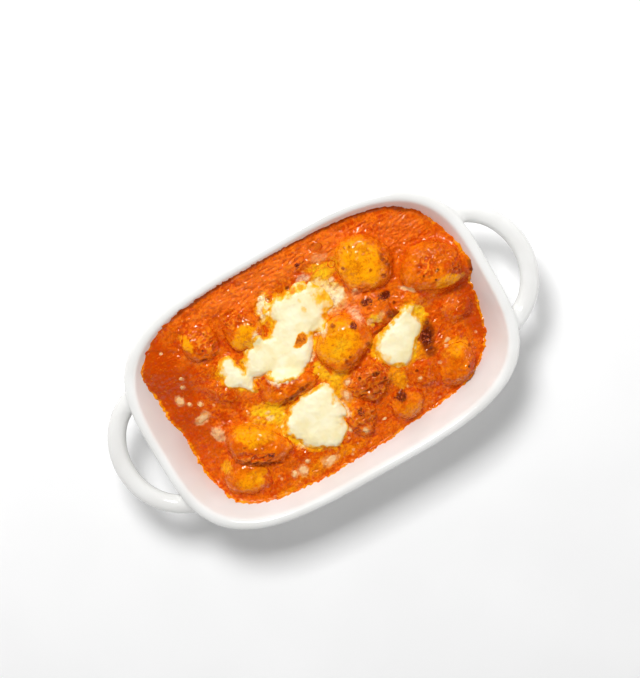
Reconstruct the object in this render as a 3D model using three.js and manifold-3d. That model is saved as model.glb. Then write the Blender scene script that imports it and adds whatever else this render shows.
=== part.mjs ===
// Potato gnocchi baked in tomato-cream sauce with melted mozzarella, in a white
// ceramic gratin dish with two loop handles.
//
// Millimetres, +Z up. X runs along the dish through both handles, Y runs from the
// front to the rear, and the origin is the middle of the footprint at table height.

import * as THREE from 'three';
import { mergeVertices } from 'three/addons/utils/BufferGeometryUtils.js';
import Module from 'manifold-3d';

const wasm = await Module();
wasm.setup();

// ---------------------------------------------------------------- dimensions

// Bowl of the dish: an outline between an ellipse and a rectangle
const RIM_HALF_X = 101.9;
const RIM_HALF_Y = 68.3;
const CORNER_POWER = 3.5;
const DISH_HEIGHT = 52;
const RIM_BAND = 6;
const RIM_ROUND_HEIGHT = 2.6;
const RIM_STEPS = 4;
const LIP_HEIGHT = 6.5;
const LIP_OVERHANG = 1.8;
const WALL_SLOPE = 0.42;
const BASE_ROUND_HEIGHT = 6;
const FOOT_INSET = 22.5;
const FOOT_WIDTH = 5;
const FOOT_RECESS = 1.2;
const FLOOR_TOP = 7;
const FLOOR_ROUND_HEIGHT = 9;
const FLOOR_ROUND_REACH = 13;
const FLOOR_ROUND_PARTS = [0, 0.45, 1];

// Loop handles, one at each short end
const HANDLE_REACH = 126;
const HANDLE_CENTRE_X = 92;
const HANDLE_HALF_SPAN = 33;
const HANDLE_LEVEL = 41.5;
const HANDLE_HALF_WIDTH = 5.2;
const HANDLE_HALF_HEIGHT = 5.6;
const HANDLE_FLARE = 0.3;
const HANDLE_FLARE_POWER = 6;
const HANDLE_HALF_TURN = 1.62;
const HANDLE_STEPS = 12;
const HANDLE_SIDES = 8;
const HANDLE_TRIM_BELOW = 12;
const HANDLE_TRIM_ABOVE = 8;

// Corners closer than this are one corner
const MERGE_DISTANCE = 1e-4;

// Clear gap kept between one piece and the next
const GAP = 0.3;

// Sauce: how far it lies under the rim, along the wall by bearing and in the middle
const MIDDLE_DEPTH = 12.5;
const DISHING = 2.6;
const PAST_WALL = 1.03;
const SAUCE_RINGS = [PAST_WALL, 0.9, 0.74, 0.52, 0.26];
const FILL_LINE = [
  { bearing: 4, depth: 7.5 },
  { bearing: 20, depth: 12 },
  { bearing: 40, depth: 7.5 },
  { bearing: 90, depth: 4 },
  { bearing: 135, depth: 5.5 },
  { bearing: 152, depth: 8 },
  { bearing: 168, depth: 20 },
  { bearing: 184, depth: 26 },
  { bearing: 212, depth: 16.5 },
  { bearing: 240, depth: 16 },
  { bearing: 265, depth: 17 },
  { bearing: 307, depth: 22 },
  { bearing: 343, depth: 22.5 },
  { bearing: 356, depth: 19 },
];

// Gnocchi: middle, length, width, height, turn of the long side, rise over the sauce.
// The list runs from the pieces on top to those under them.
const GNOCCHI = [
  { at: [44.6, 34.3], size: [34, 31.5, 21], turn: 78, rise: 9.5 },
  { at: [14.6, 2.4], size: [29, 28, 21], turn: 30, rise: 9.5, power: 3.0 },
  { at: [-51.6, -24.4], size: [37, 21.5, 20], turn: -32, rise: 9, taper: -0.3 },
  { at: [75, 14.2], size: [35, 26.5, 20], turn: -24, rise: 8.5 },
  { at: [17.2, -22.8], size: [25, 21, 18], turn: 15, rise: 6.5 },
  { at: [-22, -3.6], size: [34, 18, 17], turn: -12, rise: 6.5, taper: -0.35 },
  { at: [60.6, -37.7], size: [26, 22.5, 19], turn: 70, rise: 6.5 },
  { at: [-51.5, 40.5], size: [23, 22, 18], turn: 60, rise: 6 },
  { at: [-28, 35], size: [24.5, 23, 18], turn: 80, rise: 6.5 },
  { at: [27.4, -43.1], size: [21, 20, 18], turn: 20, rise: 5.5 },
  { at: [-65.6, -35.4], size: [29, 23, 18], turn: -12, rise: 6 },
  { at: [38.5, 10.3], size: [22, 20.5, 17], turn: 60, rise: 5 },
  { at: [2.9, -38], size: [19, 17, 16], turn: 60, rise: 5 },
  { at: [75.2, -10.6], size: [20, 17, 16], turn: 10, rise: 3 },
  { at: [-54.5, 12.6], size: [23, 15, 16], turn: -48, rise: 3.2 },
  { at: [-67.3, -6.5], size: [13, 10, 13], turn: 80, rise: 2.6 },
  { at: [43.6, -34], size: [15, 13, 14], turn: 75, rise: 3.4 },
];
const GNOCCO_POWER = 2.35;
const LUMP_DEPTH = 0.045;
const GNOCCO_SIDES = 12;
const GNOCCO_ROWS = 7;

// Mozzarella: the outline of each melted patch, and its height over the sauce
const MOZZARELLA = [
  {
    lift: 4.2,
    outline: [
      [-38, 14], [-34, 22], [-25, 26.5], [-15, 25], [-11, 31], [-10, 39.5], [1, 40.5], [11, 39],
      [17, 30], [14, 20], [3, 16], [-1, 8], [-8, 2.6], [-17, -0.6], [-25, 5.5], [-32, 9.5],
    ],
  },
  {
    lift: 3.6,
    outline: [[-48.5, 24.5], [-43, 27.6], [-39.8, 19], [-37.8, 9], [-38, 1.5], [-44, 6.5], [-50.5, 15.5]],
  },
  {
    lift: 4.6,
    outline: [
      [-37.5, -25.5], [-32, -17], [-26, -14], [-18, -11.6], [-3, -13], [-4, -26], [-9, -40],
      [-15, -44.5], [-25, -39.5], [-32, -31],
    ],
  },
  {
    lift: 4.4,
    outline: [
      [27.5, -7], [36, -3], [44, 0], [52, 2], [57.5, 1.5], [54.5, -5], [56, -10], [49, -16],
      [39.5, -25], [30, -20.5],
    ],
  },
];
const PATCH_DEPTH = 2;
const PATCH_EDGE = 1.3;
const PATCH_CORNERS = 22;

// Corners of each ring round the dish and the sauce
const AROUND = 48;

// ---------------------------------------------------------------- materials

function glaze() {
  return new THREE.MeshStandardMaterial({ color: 0xf0f0ee, roughness: 0.18, metalness: 0 });
}

function tomatoCreamSauce() {
  return new THREE.MeshStandardMaterial({ color: 0xd44902, roughness: 0.3, metalness: 0 });
}

function potatoDough() {
  return new THREE.MeshStandardMaterial({ color: 0xf08c08, roughness: 0.4, metalness: 0 });
}

function meltedCheese() {
  return new THREE.MeshStandardMaterial({ color: 0xf8efcb, roughness: 0.35, metalness: 0 });
}

// ---------------------------------------------------------------- solids

// One closed skin over a row of equal rings, with a middle point closing each end.
// Each patch between two rings is split along its shorter diagonal.
function skinOver(rings) {
  const count = rings[0].length;
  const first = middleOf(rings[0]);
  const last = middleOf(rings[rings.length - 1]);
  const points = [...rings.flat(), first, last];
  const firstIndex = rings.length * count;
  const faces = [];
  for (let side = 0; side < count; side += 1) {
    const next = (side + 1) % count;
    faces.push(firstIndex, next, side);
    for (let ring = 0; ring < rings.length - 1; ring += 1) {
      const low = ring * count;
      const high = low + count;
      const rising = points[low + side].distanceTo(points[high + next]);
      const falling = points[low + next].distanceTo(points[high + side]);
      if (rising < falling) {
        faces.push(low + side, low + next, high + next);
        faces.push(low + side, high + next, high + side);
      } else {
        faces.push(low + side, low + next, high + side);
        faces.push(low + next, high + next, high + side);
      }
    }
    const top = (rings.length - 1) * count;
    faces.push(firstIndex + 1, top + side, top + next);
  }
  const positions = points.flatMap((point) => point.toArray());
  const geometry = new THREE.BufferGeometry();
  geometry.setAttribute('position', new THREE.Float32BufferAttribute(positions, 3));
  geometry.setIndex(faces);
  return geometry;
}

function middleOf(ring) {
  const sum = ring.reduce((total, point) => total.add(point), new THREE.Vector3());
  return sum.divideScalar(ring.length);
}

// The solid of a closed geometry, ready to be joined or cut
function solidOf(geometry) {
  geometry.deleteAttribute('normal');
  geometry.deleteAttribute('uv');
  const merged = mergeVertices(geometry, MERGE_DISTANCE);
  const vertProperties = new Float32Array(merged.attributes.position.array);
  const triVerts = new Uint32Array(merged.index.array);
  return new wasm.Manifold(new wasm.Mesh({ numProp: 3, vertProperties, triVerts }));
}

// The largest body that a cut leaves
function largestBody(solid) {
  const bodies = solid.decompose();
  return bodies.reduce((best, body) => (body.volume() > best.volume() ? body : best));
}

function cutBy(solid, tools) {
  return tools.reduce((rest, tool) => rest.subtract(tool), solid);
}

function meshOf(name, solid, material) {
  const result = solid.getMesh();
  const geometry = new THREE.BufferGeometry();
  geometry.setAttribute('position', new THREE.BufferAttribute(new Float32Array(result.vertProperties), 3));
  geometry.setIndex(new THREE.BufferAttribute(new Uint32Array(result.triVerts), 1));
  geometry.computeVertexNormals();
  const mesh = new THREE.Mesh(geometry, material);
  mesh.name = name;
  return mesh;
}

// ---------------------------------------------------------------- dish outline

// Distance from the middle to the dish's outline, moved in by inset, on a bearing
function outlineRadius(bearing, inset) {
  const alongX = Math.abs(Math.cos(bearing)) / (RIM_HALF_X - inset);
  const alongY = Math.abs(Math.sin(bearing)) / (RIM_HALF_Y - inset);
  return (alongX ** CORNER_POWER + alongY ** CORNER_POWER) ** (-1 / CORNER_POWER);
}

function onBearing(bearing, radius, z) {
  return new THREE.Vector3(radius * Math.cos(bearing), radius * Math.sin(bearing), z);
}

// A ring round the dish; inset and height may change with the bearing
function ringRound(insetAt, heightAt) {
  const ring = [];
  for (let step = 0; step < AROUND; step += 1) {
    const bearing = (step / AROUND) * 2 * Math.PI;
    ring.push(onBearing(bearing, outlineRadius(bearing, insetAt(bearing)), heightAt(bearing)));
  }
  return ring;
}

function levelRing(inset, z) {
  return ringRound(() => inset, () => z);
}

// How far the inner wall lies inside the outline at a depth under the rim
function innerWallInset(depth) {
  return RIM_BAND + WALL_SLOPE * Math.max(0, depth - RIM_ROUND_HEIGHT);
}

function outerWallInset(z) {
  return LIP_OVERHANG + WALL_SLOPE * (DISH_HEIGHT - LIP_HEIGHT - z);
}

// Steps down the round between the inner wall and the floor, as inset and height
function floorRound(clearance) {
  const top = FLOOR_TOP + FLOOR_ROUND_HEIGHT;
  const start = innerWallInset(DISH_HEIGHT - top);
  return FLOOR_ROUND_PARTS.map((part) => {
    const turn = (part * Math.PI) / 2;
    return {
      inset: start + clearance + FLOOR_ROUND_REACH * (1 - Math.cos(turn)),
      z: top + clearance - FLOOR_ROUND_HEIGHT * Math.sin(turn),
    };
  });
}

// ---------------------------------------------------------------- dish

function bowl() {
  const footInner = FOOT_INSET + FOOT_WIDTH;
  const rings = [
    levelRing(footInner + FOOT_RECESS, FOOT_RECESS),
    levelRing(footInner, 0),
    levelRing(FOOT_INSET, 0),
    levelRing(outerWallInset(BASE_ROUND_HEIGHT / 4) + FOOT_RECESS, BASE_ROUND_HEIGHT / 4),
    levelRing(outerWallInset(BASE_ROUND_HEIGHT), BASE_ROUND_HEIGHT),
    levelRing(LIP_OVERHANG, DISH_HEIGHT - LIP_HEIGHT),
    levelRing(LIP_OVERHANG / 4, DISH_HEIGHT - LIP_HEIGHT + LIP_OVERHANG / 2),
  ];
  const half = RIM_BAND / 2;
  for (let step = 0; step <= RIM_STEPS; step += 1) {
    const turn = (step / RIM_STEPS) * Math.PI;
    const z = DISH_HEIGHT - RIM_ROUND_HEIGHT * (1 - Math.sin(turn));
    rings.push(levelRing(half * (1 - Math.cos(turn)), z));
  }
  floorRound(0).forEach(({ inset, z }) => rings.push(levelRing(inset, z)));
  return solidOf(skinOver(rings));
}

// A loop handle that grows out of the wall just under the lip
function handle(side) {
  const halfLength = HANDLE_REACH - HANDLE_HALF_WIDTH - HANDLE_CENTRE_X;
  const rings = [];
  for (let step = 0; step <= HANDLE_STEPS; step += 1) {
    const along = (2 * step) / HANDLE_STEPS - 1;
    const turn = along * HANDLE_HALF_TURN;
    const middle = new THREE.Vector3(
      HANDLE_CENTRE_X + halfLength * Math.cos(turn),
      HANDLE_HALF_SPAN * Math.sin(turn),
      HANDLE_LEVEL,
    );
    const outward = new THREE.Vector3(
      HANDLE_HALF_SPAN * Math.cos(turn), halfLength * Math.sin(turn), 0,
    ).normalize();
    const flare = 1 + HANDLE_FLARE * along ** HANDLE_FLARE_POWER;
    const ring = [];
    for (let corner = 0; corner < HANDLE_SIDES; corner += 1) {
      const angle = (corner / HANDLE_SIDES) * 2 * Math.PI;
      const point = middle.clone();
      point.addScaledVector(outward, HANDLE_HALF_WIDTH * flare * Math.sin(angle));
      point.z += HANDLE_HALF_HEIGHT * flare * Math.cos(angle);
      ring.push(point);
    }
    rings.push(ring);
  }
  const geometry = skinOver(rings);
  geometry.rotateZ(side > 0 ? 0 : Math.PI);
  return solidOf(geometry);
}

// The space inside the middle of the wall, used to trim the handles' ends
function insideOfWall() {
  const low = HANDLE_LEVEL - HANDLE_TRIM_BELOW;
  const high = HANDLE_LEVEL + HANDLE_TRIM_ABOVE;
  const middleOfWall = (z) => (outerWallInset(z) + innerWallInset(DISH_HEIGHT - z)) / 2;
  return solidOf(skinOver([
    levelRing(middleOfWall(low), low),
    levelRing(middleOfWall(high), high),
  ]));
}

function dish() {
  const inside = insideOfWall();
  const handles = [1, -1].map((side) => largestBody(handle(side).subtract(inside)));
  return handles.reduce((body, loop) => body.add(loop), bowl());
}

// ---------------------------------------------------------------- food space

// The room inside the dish that food can fill, clear of the wall and the floor
function foodSpace() {
  const rings = floorRound(GAP).reverse().map(({ inset, z }) => levelRing(inset, z));
  rings.push(levelRing(innerWallInset(RIM_ROUND_HEIGHT) + GAP, DISH_HEIGHT - RIM_ROUND_HEIGHT));
  return solidOf(skinOver(rings));
}

// ---------------------------------------------------------------- sauce

// Depth of the sauce under the rim where it meets the wall
function fillDepth(bearing) {
  const from = FILL_LINE[0].bearing;
  const marks = [...FILL_LINE, { bearing: from + 360, depth: FILL_LINE[0].depth }];
  const degrees = from + THREE.MathUtils.euclideanModulo(THREE.MathUtils.radToDeg(bearing) - from, 360);
  const next = marks.findIndex((mark) => mark.bearing > degrees);
  const part = THREE.MathUtils.smoothstep(degrees, marks[next - 1].bearing, marks[next].bearing);
  return THREE.MathUtils.lerp(marks[next - 1].depth, marks[next].depth, part);
}

function sauceEdgeRadius(bearing) {
  return outlineRadius(bearing, innerWallInset(fillDepth(bearing)) + GAP);
}

// Height of the sauce on a bearing, at a part of the way out to the wall
function sauceHeight(bearing, part) {
  return DISH_HEIGHT - THREE.MathUtils.lerp(MIDDLE_DEPTH, fillDepth(bearing), part ** DISHING);
}

function sauceLevelAt(x, y) {
  const bearing = Math.atan2(y, x);
  return sauceHeight(bearing, Math.min(1, Math.hypot(x, y) / sauceEdgeRadius(bearing)));
}

// Everything under the sauce's surface, out to a little past the wall
function underSauce() {
  const rings = [levelRing(0, 0)];
  SAUCE_RINGS.forEach((part) => {
    const ring = [];
    for (let step = 0; step < AROUND; step += 1) {
      const bearing = (step / AROUND) * 2 * Math.PI;
      ring.push(onBearing(bearing, part * sauceEdgeRadius(bearing), sauceHeight(bearing, part)));
    }
    rings.push(ring);
  });
  return solidOf(skinOver(rings));
}

// ---------------------------------------------------------------- gnocchi

function signedPower(value, power) {
  return Math.sign(value) * Math.abs(value) ** power;
}

// A hand-rolled pillow of dough, uneven in its own way; grow swells it all round
function gnocco(piece, index, grow) {
  const { at, size, turn, rise, taper = 0, power = GNOCCO_POWER } = piece;
  const [halfLength, halfWidth, halfHeight] = size.map((full) => full / 2 + grow);
  const sharp = 2 / power;
  const rings = [];
  for (let row = 1; row < GNOCCO_ROWS; row += 1) {
    const tip = (row / GNOCCO_ROWS - 0.5) * Math.PI;
    const ring = [];
    for (let side = 0; side < GNOCCO_SIDES; side += 1) {
      const around = (side / GNOCCO_SIDES) * 2 * Math.PI;
      const lump = 1
        + LUMP_DEPTH * Math.cos(tip) * Math.sin(2 * around + 1.7 * index)
        + LUMP_DEPTH * Math.cos(tip) * Math.sin(3 * around + 2.9 * index + 2 * tip);
      const x = halfLength * lump * Math.cos(tip) ** sharp * signedPower(Math.cos(around), sharp);
      const y = halfWidth * lump * Math.cos(tip) ** sharp * signedPower(Math.sin(around), sharp);
      const z = halfHeight * signedPower(Math.sin(tip), sharp);
      ring.push(new THREE.Vector3(x, y * (1 + (taper * x) / halfLength), z));
    }
    rings.push(ring);
  }
  const geometry = skinOver(rings);
  geometry.rotateZ(THREE.MathUtils.degToRad(turn));
  geometry.translate(at[0], at[1], sauceLevelAt(at[0], at[1]) + rise - size[2] / 2);
  return solidOf(geometry);
}

// ---------------------------------------------------------------- mozzarella

// A melted patch lying on the sauce, its edge rounded over; grow swells it all round
function mozzarella(piece, grow) {
  const points = closedOutline(piece.outline);
  const thickness = PATCH_DEPTH + piece.lift;
  const geometry = new THREE.ExtrudeGeometry(new THREE.Shape(points), {
    depth: thickness - 2 * PATCH_EDGE,
    bevelEnabled: true,
    bevelThickness: PATCH_EDGE + grow,
    bevelSize: PATCH_EDGE + grow,
    bevelOffset: -PATCH_EDGE,
    bevelSegments: 1,
    curveSegments: 1,
  });
  geometry.translate(0, 0, PATCH_EDGE - PATCH_DEPTH);
  const position = geometry.attributes.position;
  for (let corner = 0; corner < position.count; corner += 1) {
    const level = sauceLevelAt(position.getX(corner), position.getY(corner));
    position.setZ(corner, position.getZ(corner) + level);
  }
  return solidOf(geometry);
}

// Evenly spaced points of a smooth closed curve through the marks
function closedOutline(marks) {
  const closed = new THREE.CatmullRomCurve3(
    marks.map(([x, y]) => new THREE.Vector3(x, y, 0)), true, 'centripetal',
  );
  const points = closed.getSpacedPoints(PATCH_CORNERS).slice(0, PATCH_CORNERS);
  return points.map((point) => new THREE.Vector2(point.x, point.y));
}

// ---------------------------------------------------------------- whole

function numbered(stem, index) {
  return `${stem}_${String(index + 1).padStart(2, '0')}`;
}

const group = new THREE.Group();
group.add(meshOf('dish', dish(), glaze()));

const inDish = foodSpace();
const grownGnocchi = GNOCCHI.map((piece, index) => gnocco(piece, index, GAP));
GNOCCHI.forEach((piece, index) => {
  const whole = gnocco(piece, index, 0).intersect(inDish);
  const fitted = largestBody(cutBy(whole, grownGnocchi.slice(0, index)));
  group.add(meshOf(numbered('gnocco', index), fitted, potatoDough()));
});

const grownPatches = MOZZARELLA.map((piece) => mozzarella(piece, GAP));
MOZZARELLA.forEach((piece, index) => {
  const neighbours = [...grownGnocchi, ...grownPatches.slice(0, index)];
  const fitted = largestBody(cutBy(mozzarella(piece, 0), neighbours));
  group.add(meshOf(numbered('mozzarella', index), fitted, meltedCheese()));
});

const sauce = largestBody(cutBy(underSauce().intersect(inDish), [...grownGnocchi, ...grownPatches]));
group.add(meshOf('sauce', sauce, tomatoCreamSauce()));

export default group;
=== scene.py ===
"""Baked potato gnocchi in a white gratin dish: its looks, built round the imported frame.

Lengths are in millimetres until a mesh is written, which is in metres, in the frame
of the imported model: X along the dish through both handles, Y to the rear, Z up.
"""

import logging
import math
from dataclasses import dataclass, field
from enum import Enum
from typing import Iterable

import bmesh
import bpy
import numpy as np
from mathutils import Matrix, Vector, noise
from mathutils.bvhtree import BVHTree


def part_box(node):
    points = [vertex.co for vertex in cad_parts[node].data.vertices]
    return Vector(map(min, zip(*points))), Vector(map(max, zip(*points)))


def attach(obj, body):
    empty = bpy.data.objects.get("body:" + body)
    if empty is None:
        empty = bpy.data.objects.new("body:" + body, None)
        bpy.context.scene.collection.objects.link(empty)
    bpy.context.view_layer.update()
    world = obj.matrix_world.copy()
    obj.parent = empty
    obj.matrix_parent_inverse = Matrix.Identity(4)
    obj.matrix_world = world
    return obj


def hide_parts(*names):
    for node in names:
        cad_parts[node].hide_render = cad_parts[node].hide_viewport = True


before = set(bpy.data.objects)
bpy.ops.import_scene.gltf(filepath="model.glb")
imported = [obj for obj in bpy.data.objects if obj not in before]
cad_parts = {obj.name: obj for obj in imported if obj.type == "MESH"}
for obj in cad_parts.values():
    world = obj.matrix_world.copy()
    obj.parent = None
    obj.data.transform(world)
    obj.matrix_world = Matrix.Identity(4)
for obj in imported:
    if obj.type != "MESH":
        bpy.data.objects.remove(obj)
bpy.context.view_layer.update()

MM = 0.001
ROOT = "root"
FROM_ABOVE = 200.0
FAR_BELOW = -50.0
DOWN = Vector((0, 0, -1))
FLAT = np.array([1, 1, 0])

logging.basicConfig(level=logging.INFO, format="%(levelname)s %(message)s")
log = logging.getLogger("gnocchi")


# ------------------------------------------------------------------ small helpers


def hex_to_linear(code: str) -> tuple[float, float, float, float]:
    """Turn an sRGB hex value into linear light.

    Args:
        code: Six hex digits.

    Returns:
        Red, green, blue and alpha, each from 0 to 1.
    """
    channels = [int(code[i:i + 2], 16) / 255 for i in (0, 2, 4)]
    linear = [c / 12.92 if c <= 0.04045 else ((c + 0.055) / 1.055) ** 2.4 for c in channels]
    return (linear[0], linear[1], linear[2], 1.0)


def smooth_between(low: float | np.ndarray, high: float | np.ndarray, value: np.ndarray) -> np.ndarray:
    """Ease values from 0 at low to 1 at high.

    Args:
        low: Value that becomes 0.
        high: Value that becomes 1.
        value: Values to ease.

    Returns:
        The eased values.
    """
    part = np.clip((value - low) / (high - low), 0.0, 1.0)
    return part * part * (3 - 2 * part)


def field_noise(points: np.ndarray, size: float, seed: float, octaves: int = 3) -> np.ndarray:
    """Soft uneven field, about -1 to 1, read at points.

    Args:
        points: Places in millimetres, three columns.
        size: Width of one lump in millimetres.
        seed: Offset that picks another part of the field.
        octaves: Number of finer layers.

    Returns:
        One value for each point.
    """
    shift = Vector((seed * 7.31, seed * 3.17, seed * 5.73))
    return np.array([
        noise.fractal(Vector(p) / size + shift, 0.9, 2.1, octaves) for p in points.tolist()
    ])


def ridge_noise(points: np.ndarray, stretch: tuple[float, float, float], seed: float) -> np.ndarray:
    """Field of narrow ridges, 0 to 1, as on a wrinkled skin.

    Args:
        points: Places in millimetres, three columns.
        stretch: Width of a ridge along X, Y and Z in millimetres.
        seed: Offset that picks another part of the field.

    Returns:
        One value for each point, 1 on a ridge.
    """
    scaled = points / np.array(stretch) + seed * 2.37
    warp = np.array([noise.noise_vector(Vector(p) * 0.45) for p in scaled.tolist()])
    values = np.array([noise.noise(Vector(p)) for p in (scaled + 0.9 * warp).tolist()])
    return 1 - np.clip(np.abs(values) * 2.2, 0, 1)


def read_points(mesh: bpy.types.Mesh) -> np.ndarray:
    """Read a mesh's vertices.

    Args:
        mesh: Mesh, in metres.

    Returns:
        Their places in millimetres, three columns.
    """
    flat = np.empty(len(mesh.vertices) * 3, np.float32)
    mesh.vertices.foreach_get("co", flat)
    return flat.reshape(-1, 3).astype(float) / MM


def write_points(mesh: bpy.types.Mesh, points: np.ndarray) -> None:
    """Move a mesh's vertices to places given in millimetres."""
    mesh.vertices.foreach_set("co", (points * MM).astype(np.float32).ravel())
    mesh.update()


def read_normals(mesh: bpy.types.Mesh) -> np.ndarray:
    """Read a mesh's vertex normals.

    Args:
        mesh: Mesh to read.

    Returns:
        One unit vector for each vertex, three columns.
    """
    flat = np.empty(len(mesh.vertices) * 3, np.float32)
    mesh.vertex_normals.foreach_get("vector", flat)
    return flat.reshape(-1, 3).astype(float)


def store_layer(mesh: bpy.types.Mesh, name: str, values: np.ndarray) -> None:
    """Keep one value for each vertex of a mesh as a named attribute."""
    layer = mesh.attributes.new(name, "FLOAT", "POINT")
    layer.data.foreach_set("value", values.astype(np.float32))


def mesh_from(bm: bmesh.types.BMesh, name: str) -> bpy.types.Mesh:
    """Write a bmesh to a new smooth mesh and free it.

    Args:
        bm: The bmesh.
        name: Name of the mesh.

    Returns:
        The new mesh.
    """
    mesh = bpy.data.meshes.new(name)
    bm.to_mesh(mesh)
    bm.free()
    mesh.polygons.foreach_set("use_smooth", [True] * len(mesh.polygons))
    mesh.update()
    return mesh


def finished_with(mesh: bpy.types.Mesh, steps: Iterable[tuple[str, dict[str, object]]]) -> bpy.types.Mesh:
    """Run modifiers on a mesh and keep their result.

    Args:
        mesh: Mesh to start from.
        steps: Kind and settings of each modifier, in order.

    Returns:
        The new mesh.
    """
    carrier = bpy.data.objects.new("carrier", mesh)
    bpy.context.scene.collection.objects.link(carrier)
    for kind, settings in steps:
        modifier = carrier.modifiers.new(kind.lower(), kind)
        for key, value in settings.items():
            setattr(modifier, key, value)
    graph = bpy.context.evaluated_depsgraph_get()
    result = bpy.data.meshes.new_from_object(carrier.evaluated_get(graph))
    result.name = mesh.name
    bpy.data.objects.remove(carrier)
    result.polygons.foreach_set("use_smooth", [True] * len(result.polygons))
    result.update()
    return result


def relaxed(mesh: bpy.types.Mesh, rounds: int) -> bpy.types.Mesh:
    """Smooth a mesh's surface.

    Args:
        mesh: Mesh to start from.
        rounds: How often each vertex moves halfway to its neighbours.

    Returns:
        The new mesh.
    """
    bm = bmesh.new()
    bm.from_mesh(mesh)
    for _ in range(rounds):
        bmesh.ops.smooth_vert(bm, verts=bm.verts, factor=0.5, use_axis_x=True,
                              use_axis_y=True, use_axis_z=True)
    return mesh_from(bm, mesh.name)


def around(bearing: np.ndarray, radius: float) -> np.ndarray:
    """Places on a level circle, one on each bearing."""
    return np.column_stack((radius * np.cos(bearing), radius * np.sin(bearing), 0 * bearing))


def packed_nodes(start: str) -> dict[str, bpy.types.Object]:
    """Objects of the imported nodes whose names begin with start, in order."""
    return {name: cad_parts[name] for name in sorted(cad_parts) if name.startswith(start)}


def place_piece(mesh: bpy.types.Mesh, name: str, finish: bpy.types.Material,
                nodes: Iterable[str] = ()) -> bpy.types.Object:
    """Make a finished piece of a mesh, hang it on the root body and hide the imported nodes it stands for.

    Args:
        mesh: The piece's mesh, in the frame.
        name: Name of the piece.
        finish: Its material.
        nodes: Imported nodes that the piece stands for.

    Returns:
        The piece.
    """
    piece = bpy.data.objects.new(name, mesh)
    bpy.context.scene.collection.objects.link(piece)
    mesh.materials.clear()
    mesh.materials.append(finish)
    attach(piece, ROOT)
    for node in nodes:
        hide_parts(node)
    log.info("%s: %d faces", name, len(mesh.polygons))
    return piece


def surface_tree(meshes: Iterable[bpy.types.Mesh]) -> BVHTree:
    """Make a search tree over the faces of several meshes.

    Args:
        meshes: Meshes, in metres.

    Returns:
        The tree, in millimetres.
    """
    corners: list[tuple[float, float, float]] = []
    faces: list[tuple[int, ...]] = []
    for mesh in meshes:
        start = len(corners)
        corners.extend(map(tuple, read_points(mesh).tolist()))
        faces.extend(tuple(start + i for i in face.vertices) for face in mesh.polygons)
    return BVHTree.FromPolygons(corners, faces)


def ground_at(tree: BVHTree, x: float, y: float, missing: float = 0.0) -> float:
    """Height of the top surface at one place, or missing where nothing lies under it."""
    hit = tree.ray_cast(Vector((x, y, FROM_ABOVE)), DOWN)[0]
    return missing if hit is None else hit.z


def heights_over(tree: BVHTree, places: np.ndarray, missing: float) -> np.ndarray:
    """Heights of the top surface at places given by X and Y, or missing where there is none."""
    return np.array([ground_at(tree, x, y, missing) for x, y in places.tolist()])


def blurred(grid: np.ndarray, rounds: int) -> np.ndarray:
    """Even out a grid of heights over its neighbours.

    Args:
        grid: Heights by row and column.
        rounds: How often the grid is evened out.

    Returns:
        The smoothed grid.
    """
    for _ in range(rounds):
        wide = np.pad(grid, 1, mode="edge")
        sides = wide[:-2, 1:-1] + wide[2:, 1:-1] + wide[1:-1, :-2] + wide[1:-1, 2:]
        corners = wide[:-2, :-2] + wide[2:, 2:] + wide[2:, :-2] + wide[:-2, 2:]
        grid = (4 * grid + 2 * sides + corners) / 16
    return grid


class Sheet:
    """Flat grid of vertices to be shaped, its values also readable by row and column."""

    def __init__(self, columns: int, rows: int) -> None:
        """Make the grid.

        Args:
            columns: Number of faces along X.
            rows: Number of faces along Y.
        """
        self.bm = bmesh.new()
        bmesh.ops.create_grid(self.bm, x_segments=columns, y_segments=rows, size=1.0)
        self.corners = np.array([vert.co[:2] for vert in self.bm.verts])
        self.order = np.lexsort((self.corners[:, 0].round(5), self.corners[:, 1].round(5)))
        self.shape = (rows + 1, columns + 1)

    def table(self, values: np.ndarray) -> np.ndarray:
        """Values of the vertices by row and column."""
        return values[self.order].reshape(self.shape)

    def softened(self, table: np.ndarray, rounds: int) -> np.ndarray:
        """Blur a table of values.

        Args:
            table: Values by row and column.
            rounds: How often it is evened out.

        Returns:
            The blurred values in the order of the vertices.
        """
        values = np.empty(len(self.corners))
        values[self.order] = blurred(table, rounds).ravel()
        return values

    def move(self, places: np.ndarray, heights: np.ndarray) -> None:
        """Move the vertices to X and Y places and to heights, in millimetres."""
        for vert, (x, y), z in zip(self.bm.verts, places, heights):
            vert.co = Vector((x, y, z)) * MM


def extrude_ring(bm: bmesh.types.BMesh, ring: list[bmesh.types.BMVert]) -> list[bmesh.types.BMVert]:
    """Grow a wall from a ring of vertices.

    Args:
        bm: Mesh that holds the ring.
        ring: Its vertices, in order.

    Returns:
        The vertices of the new ring, in the same order.
    """
    edges = [bm.edges.get((vert, ring[(i + 1) % len(ring)])) for i, vert in enumerate(ring)]
    made = bmesh.ops.extrude_edge_only(bm, edges=edges)["geom"]
    fresh = {item for item in made if isinstance(item, bmesh.types.BMVert)}
    return [
        next(edge.other_vert(vert) for edge in vert.link_edges if edge.other_vert(vert) in fresh)
        for vert in ring
    ]


def loft(bm: bmesh.types.BMesh, stations: list[list[Vector]]) -> None:
    """Grow one closed tube or bowl through rings of equal count.

    Args:
        bm: Mesh that the shape is added to.
        stations: Places of each ring's corners, in millimetres.
    """
    circle = bmesh.ops.create_circle(bm, cap_ends=True, segments=len(stations[0]), radius=MM)
    ring = list(circle["verts"])
    for index, places in enumerate(stations):
        if index:
            ring = extrude_ring(bm, ring)
        for vert, place in zip(ring, places):
            vert.co = place * MM
    bmesh.ops.contextual_create(bm, geom=ring)


# ------------------------------------------------------------------ tints of the food


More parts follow.
